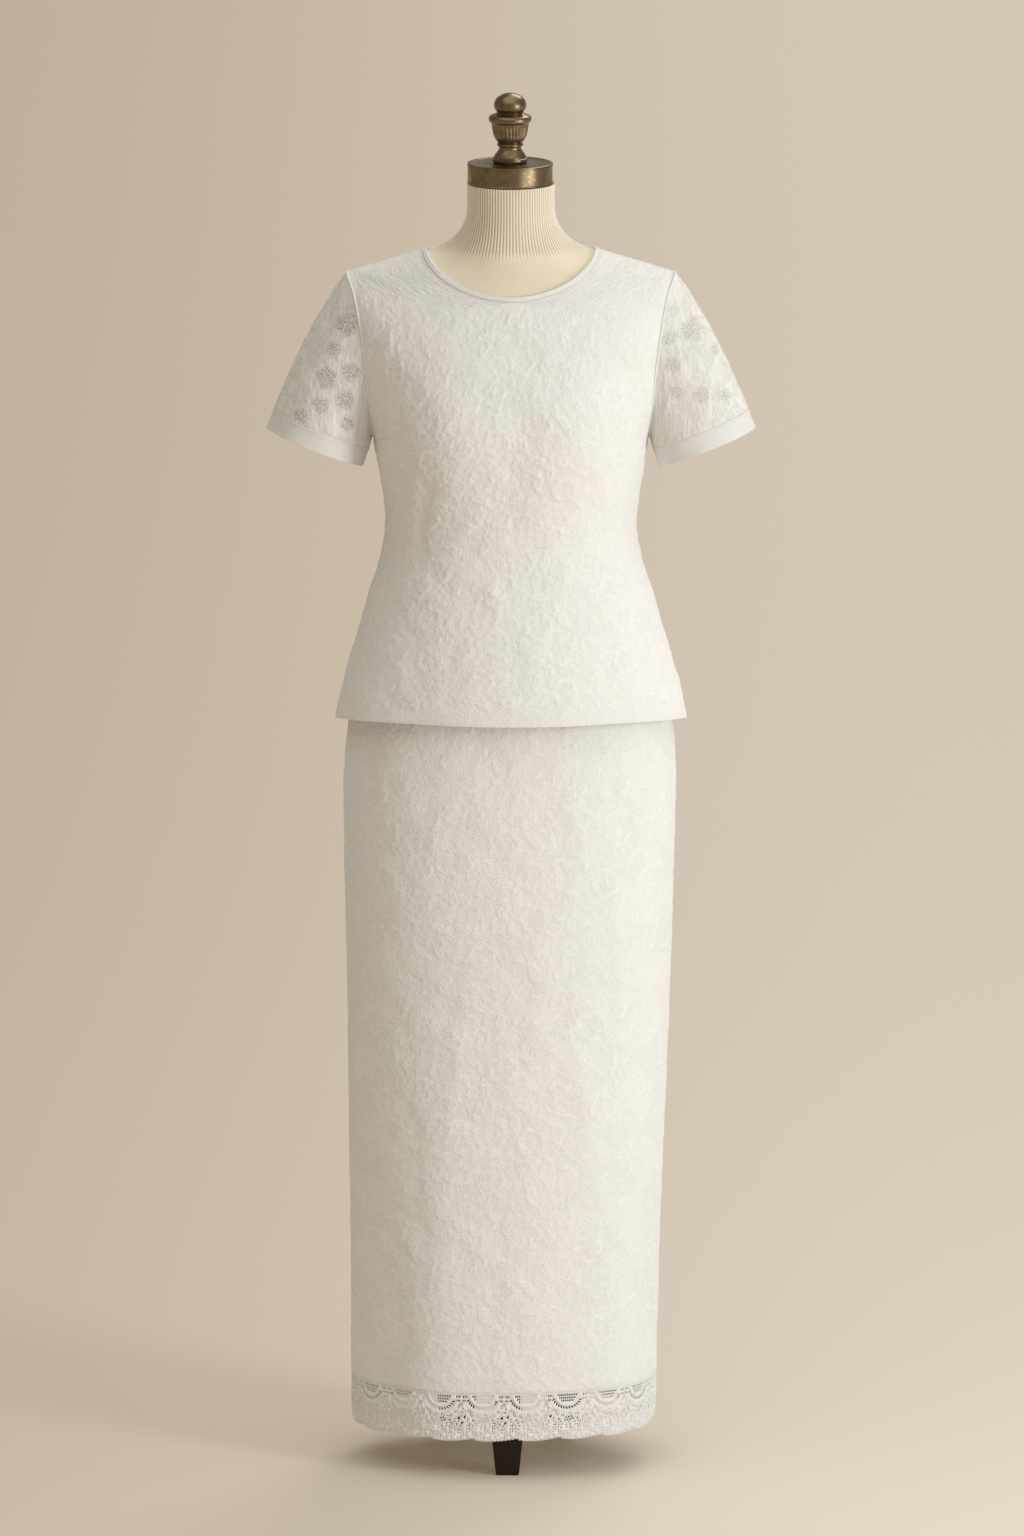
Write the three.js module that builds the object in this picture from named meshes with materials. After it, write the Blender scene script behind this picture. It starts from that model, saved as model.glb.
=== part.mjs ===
// A puletasi: a short-sleeved flared lace top over a long straight lace skirt, worn by a limbless dress form
// on a three-legged wooden stand. Millimetres, +Z up, the front faces -Y. All seams lie in the plane through
// the form's pole, which splits front from back.
import * as THREE from "three";

// ---------------------------------------------------------------- driving sizes
const CLOTH_WALL = 1.4;
const SLEEVE_WALL = 1.2;
const ELASTIC_WALL = 2.0;
const LACE_WALL = 1.2;
const SEAM_GAP = 0.3; // between two pieces at a seam
const ARMHOLE_GAP = 0.35;
const FORM_INSET = 2.0; // from the top's outer face to the form, where the top rests on it

const UNDERARM_Z = 1230;
const SHOULDER_TIP_Z = 1425;
const TOP_HEM = { centreZ: 909, sideZ: 892 };
const FULLNESS = 0.6; // handle length of a quarter section, 0.552 for a true ellipse
const BUST = { x: 82, z: 1258, rise: 9, halfWidth: 56, above: 62, below: 95 };

const SKIRT_TOP_Z = 1097;
const WAISTBAND_TOP_Z = 1128;
const LACE_TOP_Z = 105;
const SKIRT_HEM_Z = 47;
const HEM_RISE = { height: 20, power: 16 }; // the lace border curves up beside each side seam

const SLEEVE_BAND = 23;
const NECK_BINDING = { width: 5.7, proud: 0.6, under: 1.6 };

const CAP = { radius: 50.3, bottomZ: 1530, topZ: 1554.3, bevel: 1.6, x: -1 };
const NECK = { radius: 51, columnZ: 1502, topZ: 1529.7 };
const FORM_BOTTOM_Z = 772;
const POLE = { radius: 14, bottomZ: 128 };
const HUB = { radius: 30, bottomZ: 128, topZ: 236 };
const STAND_TURN = THREE.MathUtils.degToRad(-2.3);

// Outline of the top: half width at the side seam, and above the underarm at the armhole; depth at the centre.
const TOP_LINES = [
  { z: 892, side: 207.4, front: 152, back: 158 },
  { z: 931, side: 198.9, front: 147, back: 153 },
  { z: 990, side: 182, front: 137, back: 145 },
  { z: 1041, side: 167.4, front: 127, back: 134 },
  { z: 1086, side: 153.4, front: 119.5, back: 122 },
  { z: 1125, side: 147.6, front: 116.5, back: 115 },
  { z: 1170, side: 151.6, front: 121, back: 114 },
  { z: 1230, side: 162, front: 129, back: 116 },
  { z: 1290, side: 167, front: 123, back: 114 },
  { z: 1350, side: 173.5, front: 104, back: 104 },
  { z: 1402, side: 183, front: 83, back: 88 },
  { z: 1425, side: 192, front: 73, back: 78 },
  { z: 1440, side: 197, front: 63, back: 67 },
  { z: 1453, side: 201, front: 51, back: 53 },
];

// Outline of the skirt; x is its middle, which drifts to the left of the pole as it hangs.
const SKIRT_LINES = [
  { z: 47, side: 180.6, front: 136, back: 134, x: -9 },
  { z: 192, side: 181.9, front: 134.5, back: 134.5, x: -7.8 },
  { z: 295, side: 183.7, front: 133, back: 135, x: -6.6 },
  { z: 430, side: 187.2, front: 131, back: 136, x: -4.8 },
  { z: 553, side: 190.3, front: 129.5, back: 137.5, x: -3 },
  { z: 738, side: 194.7, front: 128.5, back: 139.5, x: -2 },
  { z: 823, side: 195.6, front: 128, back: 140, x: -1.2 },
  { z: 879, side: 192, front: 126.5, back: 139, x: -0.6 },
  { z: 931, side: 185.5, front: 124.5, back: 136, x: 0 },
  { z: 990, side: 172.5, front: 121, back: 129, x: 0 },
  { z: 1041, side: 158.5, front: 116, back: 119, x: 0 },
  { z: 1097, side: 144.3, front: 110, back: 109.5, x: 0 },
  { z: 1128, side: 143.2, front: 108.5, back: 107.5, x: 0 },
];

// Outline of the form below the underarm.
const FORM_LINES = [
  { z: 772, side: 178, front: 118, back: 124 },
  { z: 823, side: 187, front: 121, back: 131 },
  { z: 879, side: 184.5, front: 120, back: 132 },
  { z: 931, side: 177, front: 117, back: 129 },
  { z: 990, side: 164.5, front: 113, back: 121 },
  { z: 1041, side: 151.5, front: 109, back: 112 },
  { z: 1097, side: 141.5, front: 107.2, back: 106.7 },
  { z: 1128, side: 140.5, front: 105.8, back: 104.8 },
  { z: 1170, side: 146, front: 114, back: 107.5 },
  { z: 1230, side: 160, front: 127, back: 114 },
];

// Soft flutes of the flared top: at is the place across the panel, -1 and 1 being its side seams.
const TOP_FLUTES = [
  { half: "front", at: -0.66, height: 3.6, width: 0.1, fromZ: 1110 },
  { half: "front", at: -0.36, height: -2.6, width: 0.12, fromZ: 1090 },
  { half: "front", at: 0.02, height: 2.2, width: 0.17, fromZ: 1040 },
  { half: "front", at: 0.4, height: -2.4, width: 0.12, fromZ: 1080 },
  { half: "front", at: 0.68, height: 3.2, width: 0.1, fromZ: 1110 },
  { half: "back", at: -0.6, height: 3.4, width: 0.12, fromZ: 1100 },
  { half: "back", at: -0.25, height: -2.6, width: 0.12, fromZ: 1060 },
  { half: "back", at: 0.1, height: 3.0, width: 0.13, fromZ: 1080 },
  { half: "back", at: 0.45, height: -2.4, width: 0.11, fromZ: 1070 },
  { half: "back", at: 0.7, height: 2.8, width: 0.1, fromZ: 1110 },
];

// Long soft folds of the hanging skirt.
const SKIRT_FLUTES = [
  { half: "front", at: -0.52, height: -3.4, width: 0.13, fromZ: 690 },
  { half: "front", at: -0.26, height: 2.6, width: 0.13, fromZ: 760 },
  { half: "front", at: 0.22, height: -2.0, width: 0.16, fromZ: 600 },
  { half: "front", at: 0.56, height: 2.2, width: 0.14, fromZ: 720 },
  { half: "back", at: -0.5, height: 2.6, width: 0.14, fromZ: 700 },
  { half: "back", at: -0.1, height: -3.0, width: 0.15, fromZ: 780 },
  { half: "back", at: 0.34, height: 2.8, width: 0.13, fromZ: 640 },
  { half: "back", at: 0.64, height: -2.2, width: 0.12, fromZ: 560 },
];

// Front and back of the upper body: sign of Y, how far the armhole reaches from the seam plane, and the neckline's dip.
const FRONT = { name: "front", sign: -1, armholeDepth: 52, neckDrop: 45.6 };
const BACK = { name: "back", sign: 1, armholeDepth: 46, neckDrop: 9 };
const NECKLINE = { halfWidth: 98.5, z: 1453, dropPerOut: 0.6, roundness: 1.35 };
const SHOULDER_FULLNESS = 0.34; // handle length of a section through the shoulders
const ARMHOLE_SWING = THREE.MathUtils.degToRad(46); // how far the sections open out toward the arm
const ARMHOLE_LEAD = 0.64; // how far the rows climb the armhole ahead of an even pace
const NECK_ROW = 1.5; // row of the top that ends at the middle of the neckline
const SHOULDER_ROW = 2; // row along the shoulder seam

// Sleeve opening, as the front shows it, from under the arm to the outer edge.
const SLEEVE_HEM = { inner: [174, 1194.5], outer: [287.5, 1240], halfDepth: 60, backDrop: 4 };
const SLEEVE_LEAVES = { shoulder: [0.61, 0, -0.79], underarm: [0.3, 0, -0.95] };

// Turned brass finial above the neck cap: radius and height of each bead, groove and bowl.
const FINIAL_PROFILE = [
  { r: 19.6, z: 1554.6 }, { r: 20.6, z: 1556.6 }, { r: 20.6, z: 1559.4 }, { r: 18.4, z: 1563.4 },
  { r: 14.6, z: 1567.6 }, { r: 13.2, z: 1571 }, { r: 13.4, z: 1573.4 }, { r: 15.4, z: 1574.6 },
  { r: 15.4, z: 1576.4 }, { r: 14.2, z: 1577.6 }, { r: 17, z: 1581 }, { r: 19.4, z: 1586.6 },
  { r: 21.2, z: 1595 }, { r: 22.6, z: 1602.6 }, { r: 24.6, z: 1604.6 }, { r: 25, z: 1607.2 },
  { r: 23.8, z: 1609.6 }, { r: 18.4, z: 1612.2 }, { r: 15.4, z: 1613.8 }, { r: 17.6, z: 1616 },
  { r: 19, z: 1620.4 }, { r: 18.6, z: 1624.6 }, { r: 16.6, z: 1629 }, { r: 13, z: 1632.8 },
  { r: 8, z: 1635.6 },
];
const FINIAL_TOP_Z = 1636.8;

// Middle line of one leg out from the hub, with its width across and its thickness along the line.
const LEG_LINE = [
  { out: 0, z: 186, width: 26, thick: 62 },
  { out: 0.25, z: 184, width: 26, thick: 50 },
  { out: 0.6, z: 150, width: 25, thick: 38 },
  { out: 0.88, z: 100, width: 26, thick: 32 },
  { out: 1, z: 58, width: 36, thick: 34 },
  { out: 1, z: 40, width: 35, thick: 31 },
  { out: 1, z: 2, width: 27.4, thick: 25 },
  { out: 1, z: 0, width: 25, thick: 23 },
];
const LEGS = [
  { name: "leg_front", angle: -90, reach: 98 },
  { name: "leg_left", angle: 125, reach: 119 },
  { name: "leg_right", angle: 59, reach: 119 },
];

const COLOURS = { cloth: 0xf0ede5, lace: 0xf2efe8, jersey: 0xe3d8bc, brass: 0x6d5a3a, steel: 0x3b342c, wood: 0x1f1711 };

// ---------------------------------------------------------------- curves and samples
const lerp = THREE.MathUtils.lerp;
const clamp = THREE.MathUtils.clamp;
const smooth = (x) => THREE.MathUtils.smoothstep(x, 0, 1);
const vector = (x, y, z) => new THREE.Vector3(x, y, z);
const steps = (n) => Array.from({ length: n + 1 }, (_, i) => i / n);
const bell = (distance, width) => Math.exp(-((distance / width) ** 2));

// A smooth curve through one column of a table, by height: cubic pieces with slopes from the neighbours.
function column(table, key) {
  const slope = table.map((_, i) => {
    const low = table[Math.max(i - 1, 0)];
    const high = table[Math.min(i + 1, table.length - 1)];
    return (high[key] - low[key]) / (high.z - low.z);
  });
  return (z) => {
    const at = clamp(table.findIndex((row) => row.z > z), 1, table.length - 1);
    const i = z >= table[table.length - 1].z ? table.length - 2 : at - 1;
    const [low, high] = [table[i], table[i + 1]];
    const span = high.z - low.z;
    const t = clamp((z - low.z) / span, 0, 1);
    return (2 * t ** 3 - 3 * t ** 2 + 1) * low[key] + (t ** 3 - 2 * t ** 2 + t) * span * slope[i]
      + (3 * t ** 2 - 2 * t ** 3) * high[key] + (t ** 3 - t ** 2) * span * slope[i + 1];
  };
}

const outline = (table) => ({
  side: column(table, "side"),
  front: column(table, "front"),
  back: column(table, "back"),
});
const TOP = outline(TOP_LINES);
const SKIRT = { ...outline(SKIRT_LINES), x: column(SKIRT_LINES, "x") };
const FORM = outline(FORM_LINES);

function bezier(points, s) {
  const r = 1 - s;
  const weights = [r ** 3, 3 * r * r * s, 3 * r * s * s, s ** 3];
  return points.reduce((sum, p, i) => sum.addScaledVector(p, weights[i]), vector(0, 0, 0));
}

// Quarter of a level section, from its centre (s = 0) to its side (s = 1).
function sectionPoint(lines, half, s, z) {
  const width = lines.side(z);
  const depth = half.sign * lines[half.name](z);
  return bezier([
    vector(0, depth, z),
    vector(FULLNESS * width, depth, z),
    vector(width, FULLNESS * depth, z),
    vector(width, 0, z),
  ], s);
}

// How far the flutes of a table push the cloth out at a place across the panel and a height.
function fluteAt(table, half, across, z, hemZ) {
  return table.filter((row) => row.half === half.name).reduce((sum, row) =>
    sum + row.height * bell(across - row.at, row.width) * smooth((row.fromZ - z) / (row.fromZ - hemZ)), 0);
}

// Pushes a point of a level section out, square to an ellipse of that section's size.
function pushOut(point, lines, half, distance) {
  const normal = vector(point.x / lines.side(point.z) ** 2, point.y / lines[half.name](point.z) ** 2, 0);
  return point.addScaledVector(normal.normalize(), distance);
}

// ---------------------------------------------------------------- the upper body
const sided = (point, side) => vector(point.x * side, point.y, point.z);
const topHemZ = (s) => lerp(TOP_HEM.centreZ, TOP_HEM.sideZ, s ** 3);

const shoulderFall = (NECKLINE.z - SHOULDER_TIP_Z) / (TOP.side(SHOULDER_TIP_Z) - NECKLINE.halfWidth);
const armholeTurn = (rise) => Math.PI * (rise + ARMHOLE_LEAD * rise * (1 - rise));

// The armhole's edge on one half: rise is 0 under the arm and 1 at the shoulder tip.
function armholePoint(half, rise) {
  const turn = armholeTurn(rise);
  const z = lerp(UNDERARM_Z, SHOULDER_TIP_Z, (1 - Math.cos(turn)) / 2);
  return vector(TOP.side(z), half.sign * half.armholeDepth * Math.sin(turn), z);
}

// Halves the search for the place along a section where a test stops holding.
function placeWhere(section, holds) {
  let [low, high] = [0, 1];
  for (let i = 0; i < 48; i += 1) {
    const middle = (low + high) / 2;
    if (holds(bezier(section, middle))) low = middle;
    else high = middle;
  }
  return low > 1 - 1e-9 ? 1 : low;
}

// The part of a closed quarter section inside the armhole, stretched along the other axis to end on its edge.
function cutAt(section, end, axis) {
  const inside = axis === "x" ? (p) => p.x < end.x : (p) => Math.abs(p.y) > Math.abs(end.y);
  const t = placeWhere(section, inside);
  const [a, b, c, d] = section;
  const [ab, bc, cd] = [[a, b], [b, c], [c, d]].map(([p, q]) => p.clone().lerp(q, t));
  const abc = ab.clone().lerp(bc, t);
  const kept = [a, ab, abc, abc.clone().lerp(bc.clone().lerp(cd, t), t)];
  const last = kept[3].clone();
  const stretch = axis === "x" ? (a.y - end.y) / (a.y - last.y) : end.x / last.x;
  return kept.map((p) => (axis === "x" ? vector(p.x, a.y + (p.y - a.y) * stretch, p.z) : vector(p.x * stretch, p.y, p.z)));
}

// A level section of the upper body, from the centre line out to the armhole, or higher up to the shoulder seam.
function chestSection(half, z) {
  const up = clamp((z - UNDERARM_Z) / (SHOULDER_TIP_Z - UNDERARM_Z), 0, 1);
  const depth = half.sign * TOP[half.name](z);
  const fullness = lerp(FULLNESS, SHOULDER_FULLNESS, smooth(up));
  const closed = (width) =>
    [[0, depth], [fullness * width, depth], [width, fullness * depth], [width, 0]].map(([x, y]) => vector(x, y, z));
  const ridge = closed(NECKLINE.halfWidth + (NECKLINE.z - z) / shoulderFall);
  if (up === 1) return ridge;
  const end = vector(TOP.side(z), half.sign * half.armholeDepth * 2 * Math.sqrt(up * (1 - up)), z);
  const opened = Math.sin(Math.PI * up);
  const swing = Math.PI / 2 - ARMHOLE_SWING * opened;
  const reach = fullness * 0.75 * Math.hypot(end.x, depth - end.y);
  const open = [
    vector(0, depth, z),
    vector(fullness * end.x, depth, z),
    vector(end.x - reach * Math.cos(swing), end.y + half.sign * reach * Math.sin(swing), z),
    end,
  ];
  const under = cutAt(closed(end.x), end, "y");
  const over = cutAt(ridge, end, "x");
  return under.map((p, i) => p.lerp(open[i], smooth(up / 0.5)).lerp(over[i], smooth((up - 0.5) / 0.5)));
}

// Where along its section a point of the upper body lies, from its distance from the centre line and its height.
const sectionPlace = (half, x, z) => placeWhere(chestSection(half, z), (p) => p.x < x);

// The neckline, a given distance out from its inner edge: turn is 0 at the middle and 90 degrees at the shoulder.
function necklineSpot(half, turn, out) {
  const inward = turn >= Math.PI / 2 ? 0 : Math.cos(turn);
  const x = (NECKLINE.halfWidth + out) * Math.sin(turn);
  const z = NECKLINE.z - shoulderFall * out - (half.neckDrop + NECKLINE.dropPerOut * out) * inward ** NECKLINE.roundness;
  return { z, place: inward === 0 ? 1 : turn <= 0 ? 0 : sectionPlace(half, x, z) };
}

function necklinePoint(half, turn, out) {
  const { z, place } = necklineSpot(half, turn, out);
  return bezier(chestSection(half, z), place);
}

// A point of the chest or upper back: its row starts on the centre line or the neckline and ends on the armhole.
function chestPoint(half, s, rise, out) {
  const toNeck = NECK_ROW - 1;
  const turn = Math.max(rise - toNeck, 0) / (1 - toNeck) * Math.PI / 2;
  const neck = necklineSpot(half, turn, out);
  const startZ = lerp(UNDERARM_Z, neck.z, Math.min(rise / toNeck, 1));
  const z = lerp(startZ, armholePoint(half, rise).z, s);
  return bezier(chestSection(half, z), lerp(turn > 0 ? neck.place : 0, 1, s));
}

function bustRise(half, point) {
  if (half !== FRONT) return 0;
  const reach = point.z > BUST.z ? BUST.above : BUST.below;
  return BUST.rise * bell(point.x - BUST.x, BUST.halfWidth) * bell(point.z - BUST.z, reach);
}

// The outer face of the top. row runs from the hem (0) by the underarm (1) to the shoulder seam (2).
function topPoint(half, side, s, row) {
  if (row > 1) {
    const point = chestPoint(half, s, row - 1, NECK_BINDING.width + ARMHOLE_GAP);
    point.y -= bustRise(half, point) * (1 - s ** 4) * (SHOULDER_ROW - row);
    return sided(point, side);
  }
  const z = lerp(topHemZ(s), UNDERARM_Z, row);
  const point = sectionPoint(TOP, half, s, z);
  pushOut(point, TOP, half, fluteAt(TOP_FLUTES, half, side * s, z, TOP_HEM.sideZ));
  point.y -= bustRise(half, point) * (1 - s ** 4);
  return sided(point, side);
}

// Outward direction of a surface whose s runs outward and whose row runs upward.
function normalOf(surface, half, side, s, row, seamed) {
  const d = 1e-3;
  const at = clamp(s, d, 0.96);
  const above = Math.min(row + d, SHOULDER_ROW);
  const below = Math.max(row - d, 0);
  const across = surface(half, side, at + d, row).sub(surface(half, side, at - d, row));
  const upward = surface(half, side, at, above).sub(surface(half, side, at, below));
  const normal = across.cross(upward).multiplyScalar(-half.sign * side).normalize();
  if (seamed) normal.y = 0;
  if (s === 0 && row <= NECK_ROW) normal.x = 0;
  return normal.normalize();
}

const onSeam = (s, row) => row === SHOULDER_ROW || (s === 1 && row <= 1);

// ---------------------------------------------------------------- meshes from grids
// A surface of shared points and triangles. Each point may carry a second one, on the other face of its wall.
class Sheet {
  constructor() {
    this.outer = [];
    this.inner = [];
    this.faces = [];
    this.known = new Map();
  }

  add(outer, inner = outer) {
    const key = outer.toArray().map((c) => Math.round(c * 1e3)).join();
    if (!this.known.has(key)) {
      this.known.set(key, this.outer.length);
      this.outer.push(outer);
      this.inner.push(inner);
    }
    return this.known.get(key);
  }

  face(a, b, c) {
    if (a !== b && b !== c && c !== a) this.faces.push([a, b, c]);
  }

  // rows and columns are parameter values; place returns [outer, inner] for one of each.
  grid(rows, columns, place, flip = false) {
    const index = rows.map((row) => columns.map((col) => this.add(...place(col, row))));
    for (let j = 0; j + 1 < rows.length; j += 1) {
      for (let i = 0; i + 1 < columns.length; i += 1) {
        const [a, b, c, d] = [index[j][i], index[j][i + 1], index[j + 1][i + 1], index[j + 1][i]];
        this.face(...(flip ? [a, c, b] : [a, b, c]));
        this.face(...(flip ? [a, d, c] : [a, c, d]));
      }
    }
    return this;
  }

  // A closed skin as it stands.
  solid() {
    return geometryOf(this.outer, this.faces);
  }

  // A wall between the outer and inner points, closed along every free edge.
  wall() {
    const count = this.outer.length;
    const edges = new Map();
    for (const [a, b, c] of this.faces) {
      for (const [from, to] of [[a, b], [b, c], [c, a]]) {
        const back = `${to},${from}`;
        if (edges.has(back)) edges.delete(back);
        else edges.set(`${from},${to}`, [from, to]);
      }
    }
    const inside = this.faces.map(([a, b, c]) => [a + count, c + count, b + count]);
    const rims = [...edges.values()].flatMap(([a, b]) => [[b, a, a + count], [b, a + count, b + count]]);
    return geometryOf([...this.outer, ...this.inner], [...this.faces, ...inside, ...rims]);
  }
}

// An indexed geometry, turned if needed so that its faces point out.
function geometryOf(points, faces) {
  const volume = faces.reduce((sum, [a, b, c]) => sum + points[a].dot(points[b].clone().cross(points[c])), 0);
  const turned = volume < 0 ? faces.map(([a, b, c]) => [a, c, b]) : faces;
  const geometry = new THREE.BufferGeometry();
  geometry.setAttribute("position", new THREE.Float32BufferAttribute(points.flatMap((p) => p.toArray()), 3));
  geometry.setIndex(turned.flat());
  geometry.computeVertexNormals();
  return geometry;
}

// ---------------------------------------------------------------- the top
const CHEST_STEPS = 16;
const CHEST_ROWS = steps(CHEST_STEPS).map((t) => 1 + t);
const HEM_ROWS = steps(8);
const TOP_COLUMNS = steps(20).map((t) => 2 * t - 1);
const SHOULDER_COLUMNS = steps(10);

// Front or back panel: one piece from hem to chest, parting at the neckline into two shoulders.
function topPanel(half) {
  const shift = vector(0, half.sign * SEAM_GAP / 2, 0);
  const place = (side, s, row) => {
    const outer = topPoint(half, side, s, row);
    const inner = outer.clone().addScaledVector(normalOf(topPoint, half, side, s, row, onSeam(s, row)), -CLOTH_WALL);
    return [outer.add(shift), inner.add(shift)];
  };
  const sheet = new Sheet();
  const body = [...HEM_ROWS, ...CHEST_ROWS.slice(1).filter((row) => row <= NECK_ROW)];
  const shoulder = CHEST_ROWS.filter((row) => row >= NECK_ROW);
  sheet.grid(body, TOP_COLUMNS, (u, row) => place(Math.sign(u) || 1, Math.abs(u), row));
  for (const side of [-1, 1]) {
    sheet.grid(shoulder, SHOULDER_COLUMNS, (s, row) => place(side, s, row), side < 0);
  }
  return sheet.wall();
}

// Places round an armhole, from under the arm up the front, over the shoulder and down the back.
const ARMHOLE_STOPS = [
  ...steps(CHEST_STEPS).map((rise) => ({ half: FRONT, rise })),
  ...steps(CHEST_STEPS).reverse().map((rise) => ({ half: BACK, rise })),
];

function sleeveLine({ half, rise }, side) {
  const start = armholePoint(half, rise);
  start.x += ARMHOLE_GAP;
  const turn = armholeTurn(rise);
  const up = (1 - Math.cos(turn)) / 2;
  const end = vector(
    lerp(SLEEVE_HEM.inner[0], SLEEVE_HEM.outer[0], up),
    half.sign * SLEEVE_HEM.halfDepth * Math.sin(turn),
    lerp(SLEEVE_HEM.inner[1], SLEEVE_HEM.outer[1], up) - SLEEVE_HEM.backDrop * half.sign * Math.sin(turn),
  );
  const across = vector(SLEEVE_HEM.outer[0] - SLEEVE_HEM.inner[0], 0, SLEEVE_HEM.outer[1] - SLEEVE_HEM.inner[1]);
  const axis = vector(across.z, 0, -across.x).normalize();
  const leaves = vector(...SLEEVE_LEAVES.underarm).lerp(vector(...SLEEVE_LEAVES.shoulder), up).normalize();
  const length = start.distanceTo(end);
  const line = [
    start,
    start.clone().addScaledVector(leaves, length / 3),
    end.clone().addScaledVector(axis, -length / 3),
    end,
  ];
  return { line: line.map((p) => sided(p, side)), length };
}

// A point of the sleeve: along is 0 at the armhole and 1 at the hem.
const sleevePoint = (stop, along, side) => bezier(sleeveLine(stop, side).line, along);

// Outward direction at a sleeve's point: square to the cloth, and within the armhole's ring at the seam.
function sleeveNormal(stopIndex, along, side) {
  const last = ARMHOLE_STOPS.length - 1;
  const stop = ARMHOLE_STOPS[stopIndex];
  const round = (step) => {
    let i = (stopIndex + step + last + 1) % (last + 1);
    if (sleevePoint(ARMHOLE_STOPS[i], along, side).distanceTo(sleevePoint(stop, along, side)) < 1e-6) {
      i = (i + step + last + 1) % (last + 1);
    }
    return sleevePoint(ARMHOLE_STOPS[i], along, side);
  };
  const d = 1e-3;
  const at = clamp(along, d, 1 - d);
  const tangent = round(1).sub(round(-1));
  const down = sleevePoint(stop, at + d, side).sub(sleevePoint(stop, at - d, side));
  const middle = sleevePoint({ half: FRONT, rise: 0 }, along, side)
    .add(sleevePoint({ half: FRONT, rise: 1 }, along, side)).multiplyScalar(0.5);
  const outward = sleevePoint(stop, along, side).sub(middle).normalize();
  const square = tangent.cross(down).normalize();
  if (square.dot(outward) < 0) square.negate();
  return outward.lerp(square, smooth(along / 0.15)).normalize();
}

function sleeveWall(side, alongAt, rows) {
  const sheet = new Sheet();
  const places = ARMHOLE_STOPS.map((_, i) => i);
  return sheet.grid(rows, [...places, 0], (i, row) => {
    const along = alongAt(ARMHOLE_STOPS[i], row);
    const outer = sleevePoint(ARMHOLE_STOPS[i], along, side);
    return [outer, outer.clone().addScaledVector(sleeveNormal(i, along, side), -SLEEVE_WALL)];
  }).wall();
}

const bandStart = (stop) => 1 - SLEEVE_BAND / sleeveLine(stop, 1).length;
const sleeveEnd = (stop) => 1 - (SLEEVE_BAND + SEAM_GAP) / sleeveLine(stop, 1).length;
const sleeve = (side) => sleeveWall(side, (stop, row) => row * sleeveEnd(stop), steps(6));
const sleeveBand = (side) => sleeveWall(side, (stop, row) => lerp(bandStart(stop), 1, row), steps(2));

// Narrow binding round the neckline, standing a little proud of the top.
function neckBinding() {
  const stops = [FRONT, BACK].flatMap((half) => [1, -1].flatMap((side) =>
    steps(CHEST_STEPS / 2).map((t) => ({ half, side, turn: t * Math.PI / 2 }))));
  const order = [...stops].sort((a, b) => angleOf(a) - angleOf(b));
  const sheet = new Sheet();
  const place = (stop, row) => {
    const point = (out, turn = stop.turn) => sided(necklinePoint(stop.half, turn, out), stop.side);
    const edge = NECK_BINDING.width;
    const along = point(0, Math.min(stop.turn + 1e-3, Math.PI / 2)).sub(point(0, stop.turn - 1e-3));
    const normal = along.cross(point(edge).sub(point(0))).normalize();
    if (normal.z < 0) normal.negate();
    if (stop.turn === Math.PI / 2) normal.y = 0;
    if (stop.turn === 0) normal.x = 0;
    normal.normalize();
    const at = point(row * edge);
    const crown = NECK_BINDING.proud * (1 + Math.sin(Math.PI * row) / 2);
    return [at.clone().addScaledVector(normal, crown), at.clone().addScaledVector(normal, -NECK_BINDING.under)];
  };
  return sheet.grid(steps(2), [...order, order[0]], place).wall();
}

function angleOf({ half, side, turn }) {
  const point = sided(necklinePoint(half, turn, 0), side);
  return Math.atan2(Math.abs(point.y) < 1e-6 ? 0 : point.y, point.x);
}

// ---------------------------------------------------------------- the skirt
const skirtHemZ = (s) => SKIRT_HEM_Z + HEM_RISE.height * s ** HEM_RISE.power;

// The outer face of the skirt, from the hem up to the waist.
function skirtPoint(half, side, s, z) {
  const point = sectionPoint(SKIRT, half, s, z);
  pushOut(point, SKIRT, half, fluteAt(SKIRT_FLUTES, half, side * s, z, SKIRT_HEM_Z));
  point.x = side * point.x + SKIRT.x(z);
  return point;
}

function skirtNormal(half, side, s, z) {
  const d = 1e-3;
  const at = clamp(s, d, 1 - d);
  const across = skirtPoint(half, side, at + d, z).sub(skirtPoint(half, side, at - d, z));
  const upward = skirtPoint(half, side, at, z + 1).sub(skirtPoint(half, side, at, z - 1));
  const normal = across.cross(upward).multiplyScalar(-half.sign * side).normalize();
  if (s === 1) normal.y = 0;
  if (s === 0) normal.x = 0;
  return normal.normalize();
}

// A panel of the skirt between two heights, each of which may change across the panel.
function skirtWall(half, bottomZ, topZ, rows, wall, columns) {
  const shift = vector(0, half.sign * SEAM_GAP / 2, 0);
  return new Sheet().grid(rows, columns, (u, row) => {
    const [side, s] = [Math.sign(u) || 1, Math.abs(u)];
    const outer = skirtPoint(half, side, s, lerp(bottomZ(s), topZ, row));
    const inner = outer.clone().addScaledVector(skirtNormal(half, side, s, outer.z), -wall);
    return [outer.add(shift), inner.add(shift)];
  }).wall();
}

const SKIRT_COLUMNS = steps(18).map((t) => 2 * t - 1);
const SKIRT_ROWS = steps(12).map((t) => 1 - (1 - t) ** 1.25);
const LACE_COLUMNS = steps(28).map((t) => 2 * t - 1);
const skirtPanel = (half) =>
  skirtWall(half, () => LACE_TOP_Z + SEAM_GAP, SKIRT_TOP_Z - SEAM_GAP, SKIRT_ROWS, CLOTH_WALL, SKIRT_COLUMNS);
const laceBorder = (half) => skirtWall(half, skirtHemZ, LACE_TOP_Z, steps(1), LACE_WALL, LACE_COLUMNS);

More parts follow.
